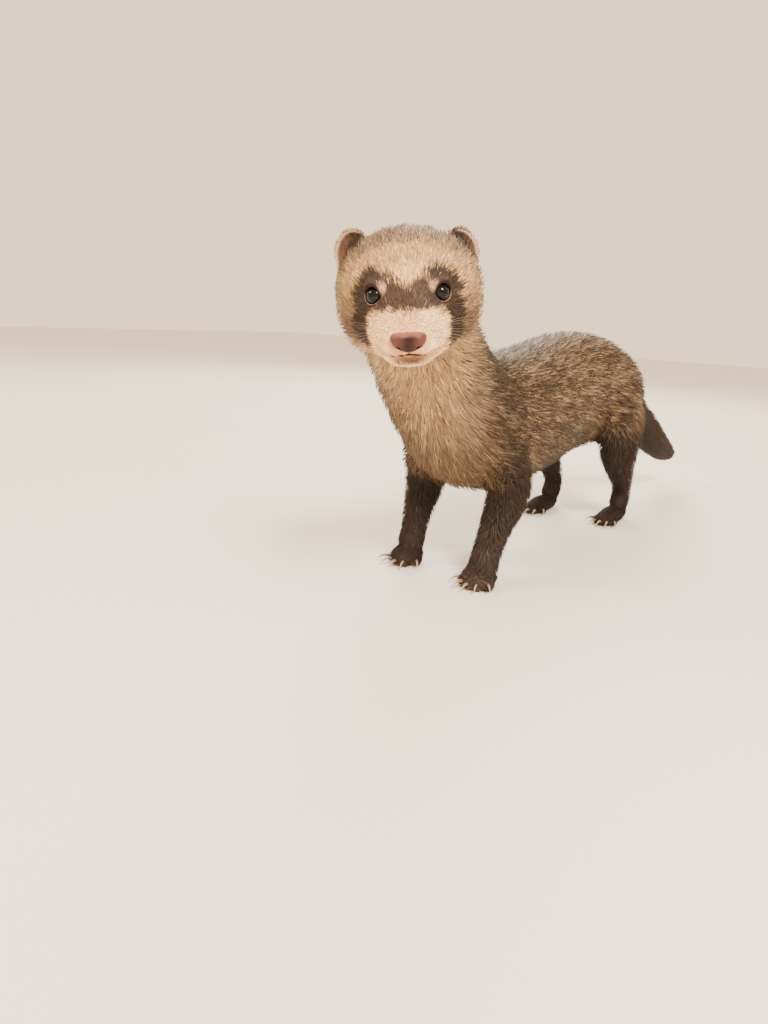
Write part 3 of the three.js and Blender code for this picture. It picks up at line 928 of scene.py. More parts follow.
def skin_colours():
    """The coat's markings, with the bare flesh of ears, lids, lips, nose and soles, and painted shade deep in
    the ears' cups and in the mouth's slit.
    """
    root, tip, _ = marks(skin_points, noise(skin_points, MARKS_LUMP, MARKS_SEED))
    colour = mixed(root * 0.85, tip, 0.35)
    q = to_head(skin_points)
    on_ear, out, through = nearest_ear(q)
    ear = smooth_step(1.2, 0.3, on_ear) * (q[:, 1] > EARS_FROM_Y)
    front = smooth_step(0.5, 0.0, through)
    colour = mixed(colour, ear_flesh(out), ear * np.maximum(front, smooth_step(0.85, 1.0, out)))
    tuft = within(folded(q), EAR_BASE_TUFT, 1.2, 0) * (1 - ear * smooth_step(0.75, 0.95, out))
    colour = mixed(colour, MASK_ROOT, tuft)
    lid = nearest_lid(q)
    near_eye = eye_distance(q) < 7
    colour = mixed(colour, LID_DARK, smooth_step(1.5, 0.8, lid) * near_eye)
    below = smooth_step(1.5, -1.0, q[:, 2] - EYE_AT[2])
    colour = mixed(colour, LID_PALE, smooth_step(0.3, 0.18, lid) * near_eye * (0.05 + 0.45 * below))
    near_nose = smooth_step(0.6, 0.0, ball(q, NOSE_AT, NOSE_SIZE / 2 + 1.0))
    colour = mixed(colour, PINK * 0.7, near_nose * 0.6)
    sole = smooth_step(2.2, 0.8, skin_points[:, 2]) * smooth_step(-0.3, -0.8, skin_normals[:, 2])
    colour = mixed(colour, PAD_PINK, sole)
    # Painted shade: the lips' skin is darker where it sinks into the mouth's slit
    lips = (np.abs(q[:, 2] - MOUTH_HEIGHT) < 1.7) * (q[:, 1] < MOUTH_CORNER_Y)
    sunk = head_outline.at(skin_points) + coat_depth(skin_points)
    return mixed(colour, CHIN_PINK_AND_SHADE * 0.7, smooth_step(-0.15, -0.6, sunk) * lips)


skin = mesh_from("skin", skin_points, skin_faces)
set_numbers(skin.data, "coat_colour", skin_colours(), "FLOAT_COLOR")
skin_nodes = [n for n in FLESH if n != "nose"] + LEGS + PAWS + EARS
finished(skin, skin_material(), skin_nodes)

# The nose's half width by height, from its middle
NOSE_HALF_WIDTHS = ([-3.3, -2.6, -1.4, 0.3, 1.7, 2.8, 3.3], [3.1, 3.9, 4.7, 5.8, 6.6, 6.8, 6.2])
NOSE_HALF_HIGH = 3.25
NOSE_BULB = ([2.9, -1.3, 0.9], [2.5, 2.2, 2.3])
NOSTRIL_AT = np.array([3.7, -2.0, -1.5])
NOSTRIL_SIZE = np.array([0.95, 1.7, 0.5])
NOSTRIL_SLIT = ([4.0, -1.9, -1.4], [6.0, 0.2, -1.8], 0.36, 0.24)
NOSE_GROOVE = ([0, -3.6, -4.2], [0, -3.7, 1.2], 0.36, 0.18)
NOSE_STEP = 0.16
NOSE_MARGIN = 1.2


def half_nose(q):
    """Points from the nose's middle, with both halves folded onto one."""
    p = q - NOSE_AT
    return np.stack([np.abs(p[:, 0]), p[:, 1], p[:, 2]], 1)


def nose_field(q):
    """The bare end of the nose: broad and flat on top, narrow below, with a comma of a nostril each side."""
    half = half_nose(q)
    x, y, z = half.T
    wide = np.interp(z, *NOSE_HALF_WIDTHS)
    half_deep = NOSE_SIZE[1] / 2
    seen = ((x / wide) ** 3 + (np.abs(z) / NOSE_HALF_HIGH) ** 3) ** (1 / 3)
    round_front = 1 - 0.62 * (x / wide) ** 2 - 0.5 * (z / NOSE_HALF_HIGH) ** 2
    front = y + half_deep * np.sqrt(np.maximum(round_front, 0))
    body = smooth_max((seen - 1) * 3.0, -front, 1.1)
    body = smooth_max(body, y - half_deep, 0.6)
    body = smooth_min(body, ball(half, *NOSE_BULB), 1.0)
    nostril = smooth_min(ball(half, NOSTRIL_AT, NOSTRIL_SIZE), capsule(half, *NOSTRIL_SLIT), 0.4)
    body = smooth_max(body, -nostril, 0.5)
    return smooth_max(body, -capsule(half, *NOSE_GROOVE), 0.4)


def make_nose():
    low, high = NOSE_AT - NOSE_SIZE / 2 - NOSE_MARGIN, NOSE_AT + NOSE_SIZE / 2 + NOSE_MARGIN
    lines = [np.arange(low[a], high[a] + NOSE_STEP, NOSE_STEP) for a in range(3)]
    values = nose_field(grid_points(lines)).reshape([len(line) for line in lines]) / NOSE_STEP
    found, faces = surface(values, lines)
    points, faces = largest_part(from_head(found), faces)
    nose = mesh_from("nose_pad", points, faces)
    # Darker in the middle, paler along the top, and near black in the nostrils, where the dark is painted
    # shade
    half = half_nose(to_head(points))
    middle = smooth_step(4.4, 0.2, half[:, 0]) * smooth_step(3.6, 1.8, half[:, 2])
    hole = smooth_step(0.5, -0.2, ball(half, NOSTRIL_AT, NOSTRIL_SIZE))
    colour = mixed(np.broadcast_to(NOSE_PINK, half.shape), NOSE_DARK, middle * 0.95)
    # Painted shade: near black inside the nostrils
    colour = mixed(colour, NOSE_DARK * 0.25, hole)
    colour = mixed(colour, PINK * 0.6, smooth_step(2.2, 3.9, half[:, 2]) * 0.5)
    set_numbers(nose.data, "coat_colour", colour, "FLOAT_COLOR")
    finished(nose, nose_material(), ["nose"])


def capped(rings, first, last):
    """A closed mesh of rings of points, one after another, with a point at each end."""
    count, sides = rings.shape[:2]
    points = np.concatenate([rings.reshape(-1, 3), [first], [last]])
    j = np.arange(sides)
    after = (j + 1) % sides
    faces = []
    for i in range(count - 1):
        a, b = i * sides + j, i * sides + after
        faces += [np.stack([a, b, b + sides], 1), np.stack([a, b + sides, a + sides], 1)]
    faces.append(np.stack([after, j, np.full(sides, count * sides)], 1))
    back = (count - 1) * sides
    faces.append(np.stack([back + j, back + after, np.full(sides, count * sides + 1)], 1))
    return points, facing_out(points, np.concatenate(faces))


EYE_ROWS = 40
EYE_SIDES = 56
CORNEA = 0.065  # how far it stands over the ball, as a share of the radius
CORNEA_WIDE = 0.6  # how wide it is, as an angle off the line of sight in radians


def make_eye(side, material):
    """A ball whose poles are on the line of sight, with the cornea standing a little proud of it."""
    looks, nosewards, up = eye_axes(side)
    down = np.linspace(0, math.pi, EYE_ROWS + 1)[1:-1]
    turn = np.arange(EYE_SIDES) * 2 * math.pi / EYE_SIDES
    reach = EYE_RADIUS * (1 + CORNEA * np.exp(-((down / CORNEA_WIDE) ** 2)))
    ring = np.cos(turn)[:, None] * nosewards + np.sin(turn)[:, None] * up
    rings = reach[:, None, None] * (np.cos(down)[:, None, None] * looks + np.sin(down)[:, None, None] * ring)
    points, faces = capped(rings, looks * EYE_RADIUS * (1 + CORNEA), -looks * EYE_RADIUS)
    eye = mesh_from(f"eyeball_{side}", from_head(points + mirrored(EYE_AT, side)), faces)
    angles = np.concatenate([np.repeat(down, EYE_SIDES), [0, math.pi]]) / math.pi
    set_numbers(eye.data, "off_axis", angles, "FLOAT")
    finished(eye, material, [f"eye_{side}"])


def tube(line, radii, sides, up, squeeze=1.0):
    """A closed tube along a line of points, whose radius may taper; `squeeze` narrows it across `up`."""
    ahead = unit(np.gradient(line, axis=0))
    across = unit(np.cross(ahead, up))
    over = np.cross(across, ahead)
    turn = np.arange(sides) * 2 * math.pi / sides
    ring = np.cos(turn)[None, :, None] * across[:, None] * squeeze
    ring = ring + np.sin(turn)[None, :, None] * over[:, None]
    return capped(line[:, None] + np.asarray(radii)[:, None, None] * ring, line[0], line[-1])


def joined(parts):
    """Several (points, faces) as one."""
    points, faces, count = [], [], 0
    for part_points, part_faces in parts:
        points.append(part_points)
        faces.append(part_faces + count)
        count += len(part_points)
    return np.concatenate(points), np.concatenate(faces)


CLAW_RADII = ([0, 0.2, 0.6, 0.9, 1], [0.6, 0.88, 0.62, 0.28, 0.08])
CLAW_ARCH = 0.7
CLAW_LIFT = 0.15
CLAW_ROOTED = 2.4  # how far a claw goes back into its toe
CLAW_FALLS_FROM = 0.28  # the share of its length where it starts to curve down
CLAW_THIN = 0.72  # its width as a share of its height
CLAW_POINTS = 15
CLAW_SIDES = 12
CLAW_ENDS = (24, 10)  # how many of its node's points stand for its base and for its tip


def make_claws(paw, material):
    """The five claws of one paw, each a curved horn along its node."""
    pair, side = paw.split("_paw_")
    nodes = [f"{pair}_claw_{side}_{i}" for i in range(1, 6)]
    parts, along = [], []
    for node in nodes:
        points, _ = node_triangles(node)
        outwards = np.argsort(np.linalg.norm((points - box_centre(paw))[:, :2], axis=1))
        base = points[outwards[: CLAW_ENDS[0]]].mean(0)
        tip = points[outwards[-CLAW_ENDS[1] :]].mean(0)
        heading = unit((tip - base) * [1, 1, 0])
        start = base - heading * CLAW_ROOTED
        t = np.linspace(0, 1, CLAW_POINTS)
        line = start + np.outer(t * ((tip - start) @ heading), heading)
        curve = np.maximum((t - CLAW_FALLS_FROM) / (1 - CLAW_FALLS_FROM), 0) ** 2.2
        line[:, 2] = base[2] + CLAW_LIFT - (base[2] - tip[2]) * curve + CLAW_ARCH * np.sin(math.pi * t)
        parts.append(tube(line, np.interp(t, *CLAW_RADII), CLAW_SIDES, [0, 0, 1], squeeze=CLAW_THIN))
        along.append(np.concatenate([np.repeat(t, CLAW_SIDES), [0, 1]]))
    claws = mesh_from(f"claws_{pair}_{side}", *joined(parts))
    set_numbers(claws.data, "along", np.concatenate(along), "FLOAT")
    finished(claws, material, nodes)


make_nose()
eye_look = eye_material()
for side in SIDES:
    make_eye(side, eye_look)
claw_look = claw_material()
for paw in PAWS:
    make_claws(paw, claw_look)

# The coat: how long and wide hairs are by the distance behind the nose, by a leg's height, then elsewhere
HEAD_LENGTHS = ([0, 6, 14, 24, 34, 48, 62, 80, 100], [1.4, 2.3, 3.3, 4.2, 5.6, 7.6, 9.5, 13.0, 15.0])
HEAD_WIDTHS = ([0, 14, 30, 50, 80], [0.30, 0.36, 0.44, 0.6, 0.8])
LEG_LENGTHS = ([0, 4, 14, 30, 60, 85], [1.4, 2.2, 3.4, 5.0, 9.0, 13.0])
LEG_WIDTHS = ([0, 10, 40, 80], [0.42, 0.5, 0.7, 0.9])
TAIL_LENGTHS = (20.0, 23.0)
TAIL_WIDTH = 0.85
TRUNK_LENGTH = 17.0
TRUNK_WIDTH = 0.95
EAR_LENGTH = 1.7
EAR_HAIR_WIDTH = 0.3
CHEEK_LONGER = 0.45
JOINT_SHORTER = 0.45  # where a leg joins the trunk
BY_EAR_SHORTER = (0.3, 0.65)  # before and behind an ear
NEAR_EYE = (4.2, 9.5)  # from its middle, where hairs are shortest and where they are as long as elsewhere
FLOW_FROM = np.array([0.0, -61.0, -4.0])  # the point on the nose that the head's hairs lie away from
TRUNK_LIE = np.array([0.0, 1.0, -0.32])
LEG_LIE = np.array([0.0, 0.3, -1.0])
FOOT_LIE = np.array([0.0, -1.0, -0.45])


def middle_line(points, degrees):
    """The middle of a long part, as one polynomial of y for x and one for z."""
    return [np.polyfit(points[:, 1], points[:, axis], degree) for axis, degree in zip((0, 2), degrees)]


def on_line(line, y):
    """The points of a middle line at places along it."""
    return np.stack([np.polyval(line[0], y), y, np.polyval(line[1], y)], 1)


on_trunk = (leg_share(skin_points) < 0.2) & (skin_points[:, 1] > -170) & (skin_points[:, 1] < TAIL_ROOT_Y)
TRUNK_LINE = middle_line(skin_points[on_trunk], (4, 4))
TAIL_LINE = middle_line(skin_points[skin_points[:, 1] > TAIL_ROOT_Y + 10], (2, 3))


class Roots:
    """Where tufts grow, with what their shapes depend on."""

    def __init__(self, p, n):
        self.p = p
        self.n = n
        self.q = to_head(p)
        self.back = self.q[:, 1] - NOSE_TIP_Y
        self.eye = eye_distance(self.q)
        self.lid = nearest_lid(self.q)
        self.nose = ball(self.q, NOSE_AT, NOSE_SIZE / 2)
        self.ear_apart, self.ear_out, self.ear_through = nearest_ear(self.q)
        self.ear = smooth_step(0.9, 0.2, self.ear_apart) * (self.q[:, 1] > EARS_FROM_Y) * (p[:, 1] < -100)
        self.head = smooth_step(88, 62, self.back) * (p[:, 1] < -80)
        self.leg = leg_share(p)
        self.tail = smooth_step(TAIL_ROOT_Y - 8, TAIL_ROOT_Y + 22, p[:, 1])

    def blend(self, head, leg, tail, trunk):
        """A number for each root from those of the parts that it lies between."""
        value = trunk + (tail - trunk) * self.tail
        value = value + (head - value) * self.head
        return value + (leg - value) * self.leg * (1 - self.head)

    def ear_tuft(self, soft):
        return within(folded(self.q), EAR_BASE_TUFT, soft, 0)


def outer_distance(p):
    """The distance to the coat's outline, from the finer grid where that reaches."""
    values = outline.at(p)
    near = (p[:, 1] < HEAD_BACK - 6) & (p[:, 2] > HEAD_LOW[2] + 8)
    values[near] = head_outline.at(p[near])
    return values


def hair_lengths(r):
    tail = np.interp(r.p[:, 1], [TAIL_ROOT_Y, TAIL_TIP_Y], TAIL_LENGTHS)
    length = r.blend(np.interp(r.back, *HEAD_LENGTHS), np.interp(r.p[:, 2], *LEG_LENGTHS), tail, TRUNK_LENGTH)
    cheek = smooth_step(15, 20, np.abs(r.q[:, 0])) * smooth_step(26, 32, r.back) * smooth_step(62, 48, r.back)
    length = length * (1 + CHEEK_LONGER * cheek * r.head)
    length = length * (0.34 + 0.66 * smooth_step(*NEAR_EYE, r.eye))
    mouth = smooth_step(3.2, 0.8, np.abs(r.q[:, 2] - MOUTH_HEIGHT + 0.4)) * (r.q[:, 1] < MOUTH_CORNER_Y + 4)
    length = length * (1 - 0.5 * mouth)
    length = length * (0.45 + 0.55 * smooth_step(0.5, 4.5, r.nose))
    before, behind = BY_EAR_SHORTER
    by_ear = smooth_step(5, 1, r.ear_apart) * (r.back > 46) * np.where(r.ear_through > 0, behind, before)
    length = length * (1 - by_ear)
    off_trunk = trunk.at(r.p)
    joint = smooth_step(-7.5, -5, off_trunk) * smooth_step(7, 1, off_trunk) * (1 - r.head) * (1 - r.tail)
    length = length * (1 - JOINT_SHORTER * joint)
    in_front = r.ear_tuft(2.0) * smooth_step(0.95, 0.7, r.ear_out) * (r.ear_through < 0)
    ear = EAR_LENGTH + 2.6 * in_front + 0.9 * smooth_step(0.8, 1.0, r.ear_out)
    return length + (ear - length) * r.ear


def hair_widths(r):
    head, leg = np.interp(r.back, *HEAD_WIDTHS), np.interp(r.p[:, 2], *LEG_WIDTHS)
    width = r.blend(head, leg, TAIL_WIDTH, TRUNK_WIDTH) * (0.7 + 0.3 * smooth_step(*NEAR_EYE, r.eye))
    return width + (EAR_HAIR_WIDTH - width) * r.ear


def flow(r):
    """The way the hairs lie at each root, as a unit vector along the skin."""
    across, rise = (np.polyval(np.polyder(line), r.p[:, 1]) for line in TAIL_LINE)
    way = mixed(TRUNK_LIE, np.stack([across, np.ones(len(across)), rise], 1), r.tail)
    way = mixed(way, unit(r.q - FLOW_FROM) @ HEAD_TURN.T, r.head)
    leg = mixed(LEG_LIE, FOOT_LIE, smooth_step(24, 8, r.p[:, 2]))
    way = mixed(way, leg, r.leg * (1 - r.head))
    for side, out in SIDES.items():
        at, turn = ear_frame(side)
        e = (r.q - at) @ turn
        rimward = unit(e * [1, 0, 1] + [0, 0, 8.0]) @ turn.T @ HEAD_TURN.T
        way = mixed(way, rimward, r.ear * (r.q[:, 0] * out > 0))
    for side in SIDES:
        from_eye = r.q - mirrored(EYE_AT, side)
        away = unit(from_eye) @ HEAD_TURN.T
        way = way + away * (1.6 * smooth_step(9.0, 4.5, np.linalg.norm(from_eye, axis=1)))[:, None]
    way = way + 0.2 * noises(r.p, 7.0, 20) + 0.16 * noises(r.p, 2.6, 30)
    way = way + 0.11 * rng.standard_normal(r.p.shape)
    way = way - r.n * np.einsum("ij,ij->i", way, r.n)[:, None]
    return unit(way)


def sampled(weights, count):
    """`count` places spread over the skin's faces by weight: points and their normals."""
    total = np.cumsum(weights)
    picks = (np.arange(count) + rng.random(count)) / count * total[-1]
    face = skin_faces[np.searchsorted(total, picks)]
    a, b = rng.random((2, count))
    over = a + b > 1
    a[over], b[over] = 1 - a[over], 1 - b[over]
    share = np.stack([1 - a - b, a, b], 1)[:, :, None]
    return (skin_points[face] * share).sum(1), unit((skin_normals[face] * share).sum(1))


# Tufts: thin three-sided locks that taper to a point
SHORT = ((0.0, 0.55), (0.75, 0.8))  # where the rings of a short tuft are along it, and how wide it is there
LONG = ((0.0, 0.36, 0.72), (0.62, 1.0, 0.62))
GUARD_LONGER = (1.12, 0.86)  # lengths of the long outer hairs and of the others, as shares
GUARD_WIDER = (0.72, 1.0)
GUARD_ENDS = (0.9, 1.2)  # how far out to the outline the tips reach
UNDER_ENDS = (0.5, 0.95)
LENGTH_VARIES = (0.78, 1.12)
WIDTH_VARIES = (0.8, 1.2)
ROLL = 0.35  # how unevenly tufts are turned about themselves, in radians
BEND = 0.1  # how unevenly they bend sideways, as a share of their length
ROOT_SUNK = 0.2  # how far under the skin they begin
LEAST_DEPTH = 0.25  # of a root under the coat's outline
STANDS = 0.5  # how far a tuft may stand off the skin, as a share of its length
RISE = 1.7  # how soon along its length it stands off
DRAWN = 0.6  # how far it may be drawn to the outline, as a share of its length
RIDGE = 0.8  # how far its third side stands out, where the other two stand out by 1
SKIN_LEAN = 0.9  # how far its normals lean as the skin's do
OWN_LEAN = 0.5  # how far they lean out of the tuft itself
FLUFF = 0.45  # how much further out tufts end on the cheeks
BRIGHT_VARIES = 0.14
BRIGHT_VARIES_ON_HEAD = 0.13  # added to that
MARKS_FRAY = 0.6  # how unevenly single tufts take a marking's colour at its edge
FLOOR_GAP = 0.4  # the least height of a tuft's middle line
PATCH = 0.003  # a tuft's width and height on the OFBake map


def tuft_faces(rings):
    """One tuft's triangles, and the place of each of their corners on its patch of the map."""
    corners, places = [], []
    top = len(rings)
    for i in range(top - 1):
        low, high = (i + 0.5) / (top + 0.5), (i + 1.5) / (top + 0.5)
        for c in range(3):
            a, b = 3 * i + c, 3 * i + (c + 1) % 3
            u, v = c / 3, (c + 1) / 3
            corners += [(a, b, b + 3), (a, b + 3, a + 3)]
            places += [((u, low), (v, low), (v, high)), ((u, low), (v, high), (u, high))]
    last, edge = 3 * (top - 1), (top - 0.5) / (top + 0.5)
    for c in range(3):
        corners.append((last + c, last + (c + 1) % 3, 3 * top))
        places.append(((c / 3, edge), ((c + 1) / 3, edge), ((c + 0.5) / 3, 1.0)))
    corners.append((0, 2, 1))
    places.append(((0.0, 0.0), (1.0, 0.0), (0.5, 0.5 / (top + 0.5))))
    return np.array(corners), np.array(places)


def spread(values):
    """Values as their ranks from 0 to 1, so that they fill that range evenly."""
    ranks = np.empty(len(values))
    ranks[np.argsort(values, kind="stable")] = np.arange(len(values)) / max(len(values) - 1, 1)
    return ranks


def gathered(p, share):
    """Points near the tail's tip drawn in towards its middle, so that its brush ends in a point."""
    share = share * smooth_step(TAIL_TIP_Y - 28, TAIL_TIP_Y + 8, p[:, 1])
    return p + (on_line(TAIL_LINE, p[:, 1]) - p) * share[:, None]


def outline_pull(r):
    """How strongly tufts are drawn to the coat's outline: not at the eyes, ears, chin, nose or tail's tip."""
    pull = smooth_step(5, 10, r.eye) * (1 - r.ear) * (1 - chin_share(r.q))
    pull = pull * smooth_step(0.8, 3.5, r.nose)
    return pull * smooth_step(TAIL_TIP_Y - 6, TAIL_TIP_Y - 22, r.p[:, 1])


def tuft_spines(r, way, side, length, ends, bend, levels):
    """Points along each tuft's middle: rooted just under the skin, and drawn to the coat's outline."""
    depth = np.maximum(-outer_distance(r.p), LEAST_DEPTH)
    top = np.minimum(depth, STANDS * length)
    pull = outline_pull(r)
    spine = np.empty((len(r.p), len(levels), 3))
    for k, s in enumerate(levels):
        rise = (1 - (1 - s) ** RISE) * ends
        out = r.n * (top * rise - ROOT_SUNK)[:, None]
        p = r.p + way * (s * length)[:, None] + out + side * bend * s * s
        if s > 0:
            wanted = -depth * (1 - rise)
            off = np.clip(wanted - outer_distance(p), -DRAWN * length, DRAWN * length) * pull
            p = p + outline.slope(p) * off[:, None]
        spine[:, k] = gathered(p, 0.85 * s)
    spine[:, :, 2] = np.maximum(spine[:, :, 2], FLOOR_GAP)
    return spine


def tuft_corners(r, side, roll, width, spine, taper):
    """The corners of each tuft's rings and then its tip, with normals that lean mostly as the skin's do."""
    ahead = unit(spine[:, -1] - spine[:, 0])
    across = unit(np.cross(ahead, r.n * np.cos(roll) + side * np.sin(roll)))
    over = np.cross(across, ahead)
    corners = np.empty((len(r.p), 3 * len(taper) + 1, 3))
    normals = np.empty_like(corners)
    for k, wide in enumerate(taper):
        half = (width * wide / 2)[:, None]
        for c, (way_out, reach) in enumerate(((-across, 1), (across, 1), (over, RIDGE))):
            corners[:, 3 * k + c] = spine[:, k] + way_out * half * reach
            normals[:, 3 * k + c] = unit(r.n * SKIN_LEAN + way_out * OWN_LEAN)
    corners[:, -1] = spine[:, -1]
    normals[:, -1] = r.n
    return corners, normals


def tuft_colours(r, seen_at, guard, at_corner):
    """The colour of each tuft's corners, from the marks' colour at its root to that at its tip; painted shade
    darkens the root end.
    """
    count = len(r.p)
    rough = noise(seen_at, MARKS_LUMP, MARKS_SEED) + MARKS_FRAY * rng.standard_normal(count)
    root, tip, dark = marks(seen_at, rough)
    tip = mixed(tip, SABLE, np.where(guard, dark, dark * 0.15))
    bright = np.exp(rng.normal(0, 1, count) * (BRIGHT_VARIES + BRIGHT_VARIES_ON_HEAD * r.head))[:, None]
    colours = np.empty((count, len(at_corner), 3))
    for k, s in enumerate(at_corner):
        share = smooth_step(0.1, 0.75, s)
        # Painted shade: each tuft is darker towards its root, as light hardly gets in among the hairs
        colours[:, k] = (root + (tip - root) * share) * bright * (0.55 + 0.45 * min(s * 1.8, 1))
    return colours


def tufts(name, r, around, along, kind, guard, material):
    """One piece of the coat: a tuft at every root. `around` and `along` are the roots' places on an unwrap
    of the skin, and `guard` says which tufts are the long outer hairs."""
    rings, taper = kind
    count = len(r.p)
    levels = np.array([*rings, 1.0])
    at_corner = np.repeat(levels, 3)[: 3 * len(rings) + 1]
    way = flow(r)
    side = unit(np.cross(way, r.n))
    length = hair_lengths(r) * rng.uniform(*LENGTH_VARIES, count) * np.where(guard, *GUARD_LONGER)
    width = hair_widths(r) * rng.uniform(*WIDTH_VARIES, count) * np.where(guard, *GUARD_WIDER)
    fluff = FLUFF * r.head * smooth_step(12, 18, np.abs(r.q[:, 0])) * smooth_step(26, 34, r.back)
    guard_ends = rng.uniform(*GUARD_ENDS, count) + fluff
    ends = np.where(guard, guard_ends, rng.uniform(*UNDER_ENDS, count) + fluff / 3)
    roll = rng.normal(0, ROLL, count)[:, None]
    bend = (BEND * rng.standard_normal(count) * length)[:, None]
    spine = tuft_spines(r, way, side, length, ends, bend, levels)
    corners, normals = tuft_corners(r, side, roll, width, spine, taper)
    template, places = tuft_faces(rings)
    faces = (template[None] + np.arange(count)[:, None, None] * len(at_corner)).reshape(-1, 3)
    piece = mesh_from(name, corners.reshape(-1, 3), faces[:, ::-1])
    piece.data.normals_split_custom_set_from_vertices(normals.reshape(-1, 3))
    seen_at = r.p + way * (0.5 * length)[:, None] * (1 - r.ear)[:, None]
    colours = tuft_colours(r, seen_at, guard, at_corner)
    set_numbers(piece.data, "coat_colour", colours.reshape(-1, 3), "FLOAT_COLOR")
    # The streaks' own places: a number for each tuft, then round it and along it
    strand = np.empty_like(corners)
    strand[:, :, 0] = rng.uniform(0, 900, count)[:, None]
    strand[:, :, 1] = np.array([0, 2.0, 1.0] * len(rings) + [1.0])
    strand[:, :, 2] = at_corner * 1.2
    set_numbers(piece.data, "strand", strand.reshape(-1, 3), "FLOAT_VECTOR")
    # Each tuft's patch, at its root's place on the unwrap
    at = np.stack([around, along], 1) * (1 - 2 * PATCH) + PATCH / 2
    uv = at[:, None, None] + places[None, :, ::-1] * PATCH
    piece.data.uv_layers.new(name="OFBake").data.foreach_set("uv", uv.astype(np.float32).ravel())
    finished(piece, material)


# The coat's pieces: each is a region of the skin, with its own unwrap round an axis and along it
def unwrap(name, r):
    """The places of roots on their piece's map: round an axis, and along it."""
    if any(word in name for word in ("head", "face", "ear")):
        return np.arctan2(r.q[:, 0], r.q[:, 2] + 2), r.back - 0.4 * np.hypot(r.q[:, 0], r.q[:, 2])
    if "leg" in name:
        middle = r.p[:, :2].mean(0)
        return np.arctan2(r.p[:, 0] - middle[0], r.p[:, 1] - middle[1]), r.p[:, 2] - 0.3 * r.p[:, 1]
    out = r.p - on_line(TAIL_LINE if "tail" in name else TRUNK_LINE, r.p[:, 1])
    return np.arctan2(out[:, 0], out[:, 2]), r.p[:, 1]


# Each piece: its number of tufts, the share of them that are guard hairs, its kind of tuft, and its slot
PIECES = {
    "coat_face": (19000, 0.3, SHORT, "cream_fur"),
    "coat_head_left": (8200, 0.3, LONG, "cream_fur"),
    "coat_head_right": (8200, 0.3, LONG, "cream_fur"),
    "coat_ears": (5000, 0.3, SHORT, "cream_fur"),
    "coat_neck": (11000, 0.42, LONG, "sable_fur"),
    "coat_trunk_fore": (10500, 0.42, LONG, "sable_fur"),
    "coat_trunk_middle": (9000, 0.42, LONG, "sable_fur"),
    "coat_trunk_hind": (10500, 0.42, LONG, "sable_fur"),
    "coat_tail": (8000, 0.5, LONG, "dark_fur"),
    "coat_fore_leg_left": (4800, 0.4, SHORT, "dark_fur"),
    "coat_fore_leg_right": (4800, 0.4, SHORT, "dark_fur"),
    "coat_hind_leg_left": (5800, 0.4, SHORT, "dark_fur"),
    "coat_hind_leg_right": (5800, 0.4, SHORT, "dark_fur"),
}
FACE_BACK = 34.0  # behind the nose, where the face's piece ends
NECK_BACK = -116.0
TRUNK_CUTS = (-52.0, 8.0)
LEGS_AT_Y = (("fore", -100), ("hind", 40))
LEG_REACH = 70  # to the front and back of that


def piece_names(r):
    """Which piece of the coat each root belongs to."""
    y = r.p[:, 1]
    names = np.full(len(y), "coat_trunk_middle", dtype="<U24")
    names[y < TRUNK_CUTS[0]] = "coat_trunk_fore"
    names[y > TRUNK_CUTS[1]] = "coat_trunk_hind"
    names[y < NECK_BACK] = "coat_neck"
    names[y > TAIL_ROOT_Y + 6] = "coat_tail"
    for pair, middle in LEGS_AT_Y:
        for side, out in SIDES.items():
            here = (r.leg > 0.45) & (np.abs(y - middle) < LEG_REACH) & (r.p[:, 0] * out > 0)
            names[here] = f"coat_{pair}_leg_{side}"
    for side, out in SIDES.items():
        names[(r.head > 0.3) & (r.q[:, 0] * out >= 0)] = f"coat_head_{side}"
    names[(r.head > 0.3) & (r.back < FACE_BACK)] = "coat_face"
    names[r.ear > 0.4] = "coat_ears"
    return names


def growth(r):
    """How thickly tufts grow at each root, within its piece: none on bare skin."""
    off_lids = np.maximum(smooth_step(0.3, 0.6, r.lid), r.eye > 8)
    off_nose = smooth_step(-0.1, 0.4, ball(r.q, NOSE_AT, NOSE_SIZE / 2 + 0.2))
    off_soles = smooth_step(0.7, 1.6, r.p[:, 2])
    off_mouth = smooth_step(-3.2, -1.6, outer_distance(r.p)) * (r.back < 22) + (r.back >= 22)
    crowding = np.interp(r.back, [0, 12, 34], [1.7, 1.25, 1.0])
    cup = r.ear * smooth_step(0.1, -0.4, r.ear_through) * smooth_step(0.95, 0.75, r.ear_out)
    in_cup = 1 - 0.65 * cup * (1 - r.ear_tuft(1.5))
    feet = np.interp(r.p[:, 2], [0, 14, 30], [2.2, 1.8, 1.0])
    return off_lids * off_nose * off_soles * off_mouth * crowding * in_cup * feet


def make_coat():
    across = face_normals(skin_points, skin_faces)
    places = Roots(skin_points[skin_faces].mean(1), unit(across))
    names = piece_names(places)
    weights = np.linalg.norm(across, axis=1) / 2 * growth(places)
    share = 1.0
    material = coat_material()
    for name, (count, guards, kind, slot) in PIECES.items():
        roots = Roots(*sampled(weights * (names == name), int(count * share)))
        around, along = (spread(v) for v in unwrap(name, roots))
        guard = rng.random(len(roots.p)) < guards
        tufts(name, roots, around, along, kind, guard, material)


make_coat()

WHISKER_ROWS = 3
WHISKERS_IN_ROW = 4
WHISKERS_FROM = 11.0  # how far behind the nose the first of the top row is
WHISKERS_APART = 2.1
ROWS_APART = 1.8
ROWS_SET_BACK = 0.7
ROWS_FROM_Z = -2.4
MUZZLE_SIDE = (7.2, 10.6)  # a place on it: how far from the middle, and how far behind the nose
MUZZLE_WIDENS = 0.42  # for each millimetre behind that place
WHISKER_LENGTH = 21.0
WHISKER_TIP = 0.015  # its radius
WHISKER_TAPER = 0.07  # how much thicker it is at its root
WHISKER_BEND = np.array([0, 0.4, -0.28])
WHISKER_POINTS = 13
WHISKER_SIDES = 5


